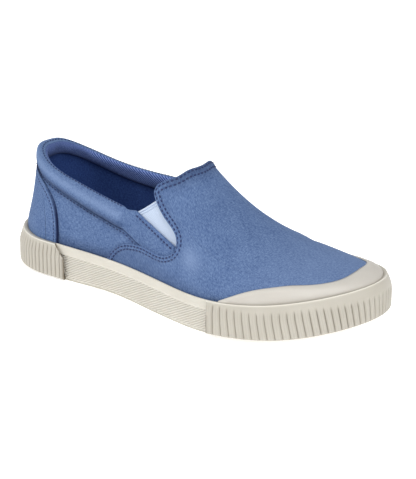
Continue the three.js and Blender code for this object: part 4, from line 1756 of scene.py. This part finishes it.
@dataclass
class HeelCounter:
    """Extra canvas layer over the back of the quarter, sewn along its front edge."""

    form: Form
    line: TopLine
    thickness: float = 1.1
    lift: float = 0.3
    edge: tuple[Pair, ...] = (
        (-84.4, -4.0), (-84.4, 2.0), (-84.4, 8.0), (-85.6, 17.8), (-88.8, 26.0), (-96.0, 34.0),
        (-106.0, 39.9), (-112.5, 42.3),
    )
    rows: int = 48
    near: Rows = (0.0, 0.0006, 0.0014, 0.0026, 0.0045, 0.008, 0.014)
    edge_run: float = 520.0
    edge_round: float = 0.7
    sewn_back: float = 3.2

    def edge_rays(self, side: float, back: float) -> tuple[Array, Array]:
        """Rays and heights of the front edge on one side.

        Args:
            side: Sign of Y.
            back: Distance behind the edge.

        Returns:
            Ray numbers and heights over the foxing.
        """
        walk = through(np.array(self.edge), self.rows)
        run = np.gradient(walk, axis=0)
        run /= np.linalg.norm(run, axis=1, keepdims=True)
        x = walk[:, 0] - run[:, 1] * back
        height = walk[:, 1] + run[:, 0] * back
        points = self.form.wall(x, height, side, 0.0)
        return np.abs(self.form.ray_of(points[:, 0], points[:, 1])), height

    def build(self, shop: Workshop, sewing: Stitching) -> None:
        """Grid from the lateral edge round the heel to the medial edge, with rolled edges.

        Args:
            shop: Makes the object.
            sewing: Takes the row behind each edge.
        """
        lateral, height = self.edge_rays(-1.0, 0.0)
        medial, _ = self.edge_rays(1.0, 0.0)
        near = np.array(self.near)
        way = np.linspace(0.0, 1.0, 81)[2:-2]
        across = lateral[:, None] * (1 - way) - medial[:, None] * way
        u = np.hstack([lateral[:, None] - near, across, near[::-1] - medial[:, None]])
        from_edge = np.minimum(lateral[:, None] - u, u + medial[:, None]) * self.edge_run
        rounded = self.thickness * quarter_round(from_edge / self.edge_round)
        outer_grow = self.lift - 0.1 + rounded - 0.14 * bump(from_edge, self.sewn_back, 0.9)
        cap = height[:, None]
        # Painted shadow along the front edge, weaker higher up.
        ink = (1 - smooth_step(from_edge, 0.5, 1.2)) * (1 - 0.5 * smooth_step(cap, 16.0, 34.0))
        foot, crown = self.edge[0][1], self.edge[-1][1]
        inner_share = smooth_step(from_edge, 0.0, 14.0)

        def level(x: Array, y: Array) -> Array:
            """Height of the edge beside it, and the same share of the seam's height behind it."""
            seam = self.line.seam(x, y) - 0.6 + 0.02 * (cap - 30.0)
            behind = foot + (cap - foot) / (crown - foot) * (seam - foot)
            return np.minimum(cap + (behind - cap) * inner_share, seam)

        outer = self.form.side_point(u, level, outer_grow)
        inner = self.form.side_point(u, level, 0.05)
        uv = np.stack([u * RAY_RUN, outer[..., 2]], axis=-1)
        skin = shell(outer, inner, uv, {"ink": ink})
        # The rim takes the near-black edge finish: painted shade at the front edge.
        tones = [shop.finishes.canvas, shop.finishes.lining, shop.finishes.edge]
        piece = shop.make("heel_counter_canvas", skin, tones)
        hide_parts("heel_counter")
        self.sew(sewing)

    def sew(self, sewing: Stitching) -> None:
        """Sew one row behind each edge, up to just under the seam.

        Args:
            sewing: Takes the lines.
        """
        lift = self.lift + self.thickness - 0.15
        for side in Side:
            rays, levels = self.edge_rays(float(side.value), self.sewn_back)
            u = -rays * side.value
            line = self.form.side_point(u, fixed(levels), lift)
            above = self.form.side_point(u, fixed(levels), lift + 1.0)
            seam = self.line.seam(line[:, 0], line[:, 1])
            shown = line[:, 2] - self.form.foxing_top(line[:, 0]) < seam - 1.0
            sewing.add(line[shown], (above - line)[shown], SewnLine(radius=0.3, pitch=2.3, dash=1.6))


@dataclass
class Gore:
    """Pale elastic triangle between quarter and vamp on one side."""

    form: Form
    line: TopLine
    side: Side
    behind: float = 2.3
    thickness: float = 1.0
    rows: int = 70
    columns: int = 30
    crowding: float = 1.7
    rear_x: float = -27.0
    rear_drop: float = 3.9
    rear_foot: Pair = (12.0, 18.5)
    front_top: Pair = (-2.5, 50.3)
    front_foot: Pair = (17.5, 20.0)
    sag: float = 1.0
    hollow: float = 0.5
    height: float = 38.0
    width: float = 20.0

    def build(self, shop: Workshop) -> None:
        """Grid between a rear and a front line in the side view, hem ridges at the top.

        Args:
            shop: Makes the object.
        """
        sign = float(self.side.value)
        corner = self.line.top(np.array(self.line.corner), np.array(sign * 27.0))
        t = (np.linspace(0.0, 1.0, self.rows) ** self.crowding)[:, None]
        s = np.linspace(0.0, 1.0, self.columns)[None, :]
        rear_top = np.array([self.rear_x, float(corner) - self.rear_drop])
        front_top = np.array(self.front_top)
        rear = rear_top + (np.array(self.rear_foot) - rear_top) * t[..., None]
        front = front_top + (np.array(self.front_foot) - front_top) * t[..., None]
        flat = rear * (1 - s[..., None]) + front * s[..., None]
        belly = np.sin(math.pi * s)
        x, height = flat[..., 0], flat[..., 1] - self.sag * belly * (1 - t) ** 2
        down = np.broadcast_to(t * self.height, x.shape)
        hem = 0.32 * (bump(down, 0.7, 0.5) + 0.8 * bump(down, 2.3, 0.5))
        line = 0.75 * bump(down, 1.5, 0.32) + 0.6 * bump(down, 3.2, 0.32)
        outer = self.form.wall(x, height, sign, hem - self.behind - self.hollow * belly)
        inner = self.form.wall(x, height, sign, -self.behind - self.thickness - self.hollow)
        uv = np.stack([np.broadcast_to(s * self.width, x.shape), down], axis=-1)
        skin = shell(outer, inner, uv, {"hem": line})
        name = f"gore_{self.side.name.lower()}"
        piece = shop.make(f"{name}_elastic", skin, [shop.finishes.elastic] * 3)
        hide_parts(name)


@dataclass
class ToeCap:
    """Smooth thin rubber shell over the front of the vamp."""

    form: Form
    start: float = 0.692
    rise: float = 9.0
    heights: Rows = (0.06, 0.94, 1.00, 0.87, 0.75, 0.68, 0.63, 0.62, 0.62)
    medial_drop: float = 0.42
    drop_end: float = 0.61
    peak: float = 0.25
    inner: float = 1.05
    thickness: float = 1.2
    foot: float = -1.5
    edge_round: float = 0.9
    shares: Rows = (0.0, 0.13, 0.18, 0.24, 0.32, 0.45, 0.58, 0.7, 0.8, 0.87, 0.92, 0.955, 0.98, 0.993, 1.0)

    def build(self, shop: Workshop) -> None:
        """Rays by heights: the edge follows its table, lower on the medial side, and is rounded.

        Args:
            shop: Makes the object.
        """
        start = self.form.ray_at(np.asarray((self.start - 0.5) * self.form.length))
        u = np.linspace(start, 1 - start, 221)[None, :]
        v = np.minimum(u, 1 - u)
        rise = self.rise * self.form.curve((v - start) / (0.5 - start), self.heights)
        lower = 1 - self.medial_drop * smooth_step(u, 0.53, self.drop_end)
        top = 0.3 + (rise + self.peak * bump(u, 0.51, 0.04)) * lower
        share = np.array(self.shares)[:, None]
        back = (1 - share) * top
        level = self.foot + (top - self.foot) * share
        bead = 0.18 * bump(back, 1.3, 0.7)
        rounded = (self.thickness - 0.25) * quarter_round(back / self.edge_round)
        outer = self.form.side_point(u, fixed(level), self.inner + 0.25 + rounded + bead)
        inner = self.form.side_point(u, fixed(level), np.full(level.shape, 0.62))
        uv = np.stack([np.broadcast_to(u * RAY_RUN, level.shape), level], axis=-1)
        # Darker towards the cap's foot, where it meets the bumper.
        skin = shell(outer, inner, uv, {"dirt_and_shade": 0.2 * (1 - smooth_step(level, -0.3, 0.7))})
        piece = shop.make("toe_cap_rubber", skin, [shop.finishes.cap_rubber] * 3)
        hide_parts("toe_cap")


@dataclass
class Foxing:
    """Rubber tape round the sole: smooth band, raised line and slanted fine ribs below.

    The ribs are a finish on the faces of layer 1, the ones below the raised line.
    """

    form: Form
    inner: float = 4.1
    outer: float = 2.6
    foot: float = 1.2
    line_drop: float = 5.6
    band: float = 20.0
    around: int = 480

    def build(self, shop: Workshop) -> None:
        """Profile carried round the footprint.

        Each row holds an inset past the outermost one, a share of the height, an extra
        height and the layer of the face above it.

        Args:
            shop: Makes the object.
        """
        u = np.arange(self.around)[:, None] / self.around
        drop = self.line_drop
        across = self.inner - self.outer
        rows = [
            (across, 0.0, 0.0, 0),
            (0.75, 0.0, 0.0, 0),
            (0.55, 0.0, 0.35, 0),
            (0.5, 0.0, 0.9, 1),
            (0.5, 0.25, 0.0, 1),
            (0.5, 0.5, 0.0, 1),
            (0.5, 1.0, -drop - 1.15, 1),
            (0.42, 1.0, -drop - 0.75, 0),
            (0.12, 1.0, -drop - 0.5, 0),
            (0.0, 1.0, -drop - 0.1, 0),
            (0.08, 1.0, -drop + 0.25, 0),
            (0.26, 1.0, -drop + 0.55, 0),
            (0.28, 1.0, -2.5, 0),
            (0.3, 1.0, -0.9, 0),
            (0.42, 1.0, -0.35, 0),
            (0.75, 1.0, -0.05, 0),
            (1.1, 1.0, 0.0, 0),
            (across, 1.0, -0.05, 0),
        ]
        table = np.array(rows) + np.array([self.outer, 0.0, 0.0, 0.0])
        lean = np.clip(table[:, 1] + table[:, 2] / self.band, 0.0, 1.0)
        lean[0] = 1.0
        x, y = self.form.edge_point(u, table[None, :, 0], lean[None, :])
        foot = self.form.ground(x) + self.foot
        z = foot + (self.form.foxing_top(x) - foot) * table[None, :, 1] + table[None, :, 2]
        points = np.stack([x, y, z], axis=-1)
        ring = points[:, 5, :2]
        steps = np.linalg.norm(np.diff(np.vstack([ring, ring[:1]]), axis=0), axis=1)
        run = np.concatenate([[0.0], np.cumsum(steps)[:-1]])[:, None]
        mirrored = np.where(u > 0.5, steps.sum() - run, run)
        uv = np.stack([np.broadcast_to(mirrored, z.shape), z - self.form.spring(x)], axis=-1)
        number = np.arange(len(rows))
        # Painted highlight along the raised line and, weaker, along the top edge.
        crest = 0.3 * (bump(number, 9.5, 1.1) + 0.4 * bump(number, 15.0, 0.9))
        marks = {"lip": np.broadcast_to(crest, z.shape)}
        skin = loop_loft(points, uv, table[:, 3].astype(int), closed=True, marks=marks)
        piece = shop.make("foxing_tape", skin, [shop.finishes.rubber, shop.finishes.ribbed])
        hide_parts("foxing")


class Ribs(Enum):
    """Which bumper a ribbed strip is."""

    TOE = "toe"
    HEEL = "heel"


@dataclass
class Bumper:
    """Thick ribbed rubber strip over the foxing at the toe or the heel."""

    form: Form
    kind: Ribs
    end: float
    pitch: float
    depth: float
    groove: float
    bevel: float
    lip: float
    roundness: float
    crowd: float
    # Weight of the darkening in the grooves: partly dirt, partly painted shade.
    groove_dirt_and_shade: float
    thickness: float = 2.3
    foot: float = 1.2
    top_lean: float = 0.6
    end_slant: float = 0.0
    shoulder: float = 0.84
    shoulder_dip: float = 0.12
    shoulder_climb: float = 0.14
    heel_shoulder: float = 0.97
    swell: float = 0.14
    fine_ribs: int = 3
    joints: Rows = (0.0, 0.018, 0.04, 0.07, 0.12, 0.2, 0.3, 0.4, 0.5, 0.6, 0.7, 0.8, 0.88, 0.93, 0.96, 0.982)

    def rays(self) -> tuple[Array, Array, Array]:
        """Stations closer together at each rib joint, between the strip's two ends.

        The rib number is the count times the share of the length, less a sine that crowds
        the ribs in the middle.

        Returns:
            Ray numbers, lengths from the first end and rib numbers.
        """
        end = float(self.form.ray_at(np.asarray((self.end - 0.5) * self.form.length)))
        first, last = (end, 1 - end) if self.kind is Ribs.TOE else (-end, end)
        fine = np.linspace(first, last, 3000)
        x, y = self.form.edge_point(fine, 0.0)
        run = np.concatenate([[0.0], np.cumsum(np.hypot(np.diff(x), np.diff(y)))])
        count = max(int(round(run[-1] / self.pitch)), 2)
        way = run / run[-1]
        ribs = count * (way - self.crowd * np.sin(2 * math.pi * way) / (2 * math.pi))
        wanted = np.append((np.arange(count)[:, None] + np.array(self.joints)[None, :]).ravel(), count)
        lengths = np.interp(wanted, ribs, run)
        return np.interp(lengths, run, fine), lengths, wanted

    def section(self) -> Array:
        """Outer side of the strip from its foot to its lip, and the inner edge last.

        The bevel's inset is the crest times the share of the bevel to the power of its
        roundness.

        Returns:
            Rows of inset, height share and extra height.
        """
        crest = self.thickness - 0.5
        way = np.array([0.0, 0.08, 0.2, 0.35, 0.5, 0.65, 0.8, 0.9])
        bevel = np.stack(
            [crest * 0.86 * way**self.roundness, 1 - self.bevel * (1 - way), self.lip * 0.4 * way**4], axis=1
        )
        foot = [
            (self.thickness, 0.0, 0.0),
            (0.85, 0.0, 0.0),
            (0.35, 0.018, 0.0),
            (0.08, 0.05, 0.0),
            (0.0, 0.1, 0.0),
            (0.0, 0.3, 0.0),
            (0.0, 1 - self.bevel - 0.08, 0.0),
        ]
        lip = [
            (0.84 * crest, 0.975, self.lip * 0.55),
            (0.87 * crest, 0.99, self.lip * 0.9),
            (0.98 * crest, 1.0, self.lip),
            (crest + 0.22, 1.0, self.lip * 0.9),
            (3.5, 1.0, -0.25) if self.kind is Ribs.TOE else (3.8, 1.0, 0.1),
        ]
        return np.vstack([foot, bevel, lip])

    def strength(self, up: Array, near: Array) -> Array:
        """Share of the grooves' depth: whole on the side, nothing on the smooth shoulder.

        At the toe the shoulder starts lower in the middle and higher up near both ends.

        Args:
            up: Height shares.
            near: Distances from the strip's nearer end.

        Returns:
            The shares.
        """
        if self.kind is Ribs.HEEL:
            limit = np.full_like(near, self.heel_shoulder)
        else:
            limit = self.shoulder - self.shoulder_dip * smooth_step(near, 55.0, 105.0)
            limit += self.shoulder_climb * bump(near, 0.0, 22.0)
        return (1 - smooth_step(up, limit - 0.14, limit + 0.02)) * smooth_step(up, -0.02, 0.05)

    def build(self, shop: Workshop) -> None:
        """Section along the outline with narrow grooves between cushioned ribs.

        The joints stand square on the line of the ground, so they lean where it rises. A
        groove is a narrow bell of the distance to the nearest rib joint on a wide shallow
        one, and a rib is a low arch with finer ridges. The strip's ends slant back over
        the bevel.

        Args:
            shop: Makes the object.
        """
        u, run, ribs = self.rays()
        rows = self.section()
        up = rows[None, :, 1]
        cut_back = self.end_slant * np.clip((up - 1 + self.bevel) / self.bevel, 0.0, 1.0)
        held = np.clip(run[:, None], cut_back, run[-1] - cut_back)
        number = np.interp(held, run, ribs)
        ground = self.form.spring(self.form.edge_point(u, 0.0)[0])
        slope = np.gradient(ground, run)[:, None]
        near = np.minimum(run, run[-1] - run)[:, None]
        reach = 1.05 * (self.form.foxing_height - self.foot) * smooth_step(near, 0.0, 14.0)
        held = held + slope * reach * np.clip(0.85 - up, 0.0, 1.0)
        phase = np.abs((number + 0.5) % 1.0 - 0.5) * self.pitch
        slit = bump(phase, 0.0, self.groove)
        arch = np.sin(math.pi * number) ** 2
        fine = 0.5 - 0.5 * np.cos(2 * math.pi * self.fine_ribs * number)
        strength = self.strength(up, near)
        wide = bump(phase, 0.0, 3.0 * self.groove)
        groove = self.depth * (0.7 * slit + 0.3 * wide)
        cut = strength * (groove + self.swell * (1 - arch) + self.swell * fine)
        inset = rows[None, :, 0] + np.minimum(cut, self.thickness)
        lean = self.top_lean * np.clip((up - 0.5) / 0.5, 0.0, 1.0) ** 1.3
        lean[:, -1] = 1.0
        x, y = self.form.edge_point(np.interp(held, run, u), inset, lean)
        foot = self.form.ground(x) + self.foot
        top = self.form.foxing_top(x) - foot
        z = foot + top * up + rows[None, :, 2]
        points = np.stack([x, y, z], axis=-1)
        # Darker in the grooves, most at the toe's front: partly dirt, partly painted shade.
        forward = 0.5 + 0.5 * bump(run, 0.5 * run[-1], 42.0)[:, None] if self.kind is Ribs.TOE else 1.0
        # Painted shade at the strip's two ends.
        end_shade = 0.7 * bump(near, 0.0, 1.5) * (up < 1.02 - self.bevel)
        dirt_and_shade = self.groove_dirt_and_shade * strength * (slit * forward + 0.22 * wide + 0.25 * fine) + end_shade
        # A darker inner edge along the toe's lip.
        dirt_and_shade[:, -1] = 0.12 if self.kind is Ribs.TOE else 0.0
        # Painted highlight along the lip.
        lip = 0.8 * bump(np.arange(len(rows)), len(rows) - 3.5, 1.2)
        uv = np.stack([np.broadcast_to(run[:, None], z.shape), z], axis=-1)
        marks = {"dirt_and_shade": dirt_and_shade, "lip": np.broadcast_to(lip, z.shape)}
        skin = loop_loft(points, uv, np.zeros(len(rows), dtype=int), closed=False, marks=marks)
        name = f"{self.kind.value}_bumper"
        rubber = shop.finishes.bumper_rubber
        # The end faces take the brown end finish: painted shade.
        tones = [rubber, rubber, shop.finishes.bumper_end_shade]
        piece = shop.make(f"{name}_rubber", skin, tones)
        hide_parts(name)


def bumpers(form: Form) -> tuple[Bumper, Bumper]:
    """The toe bumper and the heel bumper.

    Args:
        form: The form that both follow.

    Returns:
        Both, not built yet.
    """
    toe = Bumper(
        form, Ribs.TOE, end=0.666, pitch=4.4, depth=0.9, groove=0.19, bevel=0.42, lip=0.6,
        roundness=1.9, crowd=0.1, groove_dirt_and_shade=0.62,
    )
    heel = Bumper(
        form, Ribs.HEEL, end=0.215, pitch=3.5, depth=0.6, groove=0.2, bevel=0.36, lip=0.1,
        roundness=1.05, crowd=0.0, groove_dirt_and_shade=0.6, end_slant=8.0,
    )
    return toe, heel


@dataclass
class Insole:
    """Insole that fills the inside over the core."""

    form: Form
    inset: float = 7.6
    level: float = 10.3
    thickness: float = 3.0
    heel_cup: float = 1.1
    ball_cup: float = 0.7
    rings: Rows = (1.0, 0.995, 0.98, 0.95, 0.88, 0.76, 0.6, 0.42, 0.24, 0.1, 0.0)

    def build(self, shop: Workshop) -> None:
        """Rings drawn in to a middle line, dished a little under the heel and the ball.

        Args:
            shop: Makes the object.
        """
        u = np.linspace(0.0, 1.0, 181)[None, :]
        share = np.array(self.rings)[:, None]
        ex, ey = self.form.edge_point(u, self.inset, 1.0)
        cx, cy, _, _ = self.form.heading(u)
        x, y = cx + (ex - cx) * share, cy + (ey - cy) * share
        edge = quarter_round((1 - share) * 30)
        cup = self.heel_cup * bump(x, -95.0, 32.0) + self.ball_cup * bump(x, 55.0, 38.0)
        base = self.form.ground(x) + self.level
        top = base + self.thickness * (0.55 + 0.45 * edge) - cup * (1 - share**2)
        outer = np.stack([x, y, top], axis=-1)
        inner = np.stack([x, y, base], axis=-1)
        skin = shell(outer, inner, np.stack([x, y], axis=-1))
        piece = shop.make("insole_textile", skin, [shop.finishes.felt] * 3)
        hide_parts("insole")


@dataclass(frozen=True)
class Lamp:
    """One square lamp that faces the shoe: its place and side in metres, its power in watts."""

    name: str
    place: Triple
    size: float
    power: float

    def hang(self) -> None:
        """Make the lamp, with its own Z axis along the line from the shoe."""
        data = bpy.data.lights.new(self.name, "AREA")
        data.size = self.size
        data.energy = self.power
        lamp = bpy.data.objects.new(self.name, data)
        back = np.array(self.place)
        back = back / np.linalg.norm(back)
        right = np.cross((0.0, 0.0, 1.0), back)
        right = right / np.linalg.norm(right)
        turn = Matrix((right, np.cross(back, right), back)).transposed().to_4x4()
        lamp.matrix_world = Matrix.Translation(self.place) @ turn
        bpy.context.scene.collection.objects.link(lamp)


@dataclass
class Studio:
    """Pale floor, soft light and the camera at the photograph's angle."""

    azimuth: float = 36.0
    elevation: float = 21.0
    distance: float = 1000.0
    target: Triple = (0.0, 0.0, 45.0)
    focal_px: float = 1602.0
    frame: tuple[int, int] = (416, 479)
    target_px: Pair = (192.94, 225.85)
    sensor: float = 36.0
    surroundings: float = 0.4
    floor_half: float = 4.0
    lamps: tuple[Lamp, ...] = (
        Lamp("top_lamp", (0.25, -0.35, 1.4), 1.1, 12.5),
        Lamp("side_lamp", (-1.3, -1.0, 0.85), 1.0, 8.2),
        Lamp("front_lamp", (1.45, -0.75, 0.9), 1.1, 7.6),
    )

    def floor(self, finishes: Finishes) -> None:
        """Large flat square at the height of the tread, centred under the shoe.

        Args:
            finishes: The shoe's materials and the floor's.
        """
        corners = np.array([[-1, -1, 0], [1, -1, 0], [1, 1, 0], [-1, 1, 0]]) * self.floor_half
        mesh = bpy.data.meshes.new("floor")
        mesh.from_pydata(corners.tolist(), [], [(0, 1, 2, 3)])
        mesh.materials.append(finishes.floor)
        floor = bpy.data.objects.new("floor", mesh)
        bpy.context.scene.collection.objects.link(floor)

    def light(self) -> None:
        """White surroundings and three wide soft lamps."""
        world = bpy.data.worlds.new("studio")
        world.use_nodes = True
        background = world.node_tree.nodes["Background"]
        background.inputs[0].default_value = (1.0, 1.0, 1.0, 1.0)
        background.inputs[1].default_value = self.surroundings
        bpy.context.scene.world = world
        for lamp in self.lamps:
            lamp.hang()
        bpy.context.scene.view_settings.view_transform = "Standard"

    def camera(self) -> None:
        """Camera on a sphere round the target, shifted so that the target falls on its pixel."""
        az, el = math.radians(self.azimuth), math.radians(self.elevation)
        back = np.array([math.sin(az) * math.cos(el), -math.cos(az) * math.cos(el), math.sin(el)])
        right = np.array([math.cos(az), math.sin(az), 0.0])
        up = np.cross(back, right)
        data = bpy.data.cameras.new("camera")
        wide, high = self.frame
        longest = max(wide, high)
        data.sensor_fit = "AUTO"
        data.sensor_width = self.sensor
        data.lens = self.focal_px / longest * self.sensor
        data.shift_x = (wide / 2 - self.target_px[0]) / longest
        data.shift_y = (self.target_px[1] - high / 2) / longest
        data.clip_start = 0.05
        data.clip_end = 50.0
        camera = bpy.data.objects.new("camera", data)
        place = (np.array(self.target) + back * self.distance) * MM
        turn = Matrix((right, up, back)).transposed().to_4x4()
        camera.matrix_world = Matrix.Translation(place) @ turn
        bpy.context.scene.collection.objects.link(camera)
        bpy.context.scene.camera = camera


def dress_outsole(frame: Mapping[str, object], finishes: Finishes) -> None:
    """Give the outsole's own mesh the moulded rubber.

    Args:
        finishes: The shoe's materials.
    """
    node = frame["nodes"]["outsole"]
    node.data.materials.clear()
    node.data.materials.append(finishes.rubber)
    LOG.info("outsole: own mesh, %s", finishes.rubber.name)


def main() -> None:
    """Build the studio and every piece of the shoe."""
    logging.basicConfig(level=logging.INFO, format="%(name)s %(message)s")
    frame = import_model()
    finishes = Finishes()
    studio = Studio()
    studio.camera()
    studio.light()
    studio.floor(finishes)
    shop = Workshop(finishes)
    form = Form()
    line = TopLine(form)
    sewing = Stitching()
    Vamp(form).build(shop, sewing)
    Quarter(form, line).build(shop)
    Collar(form, line).build(shop, sewing)
    HeelCounter(form, line).build(shop, sewing)
    for side in Side:
        Gore(form, line, side).build(shop)
    ToeCap(form).build(shop)
    Foxing(form).build(shop)
    for bumper in bumpers(form):
        bumper.build(shop)
    Insole(form).build(shop)
    dress_outsole(frame, finishes)
    sewing.build(shop)
    LOG.info("%d pieces made", shop.count)


if __name__ == "__main__":
    main()
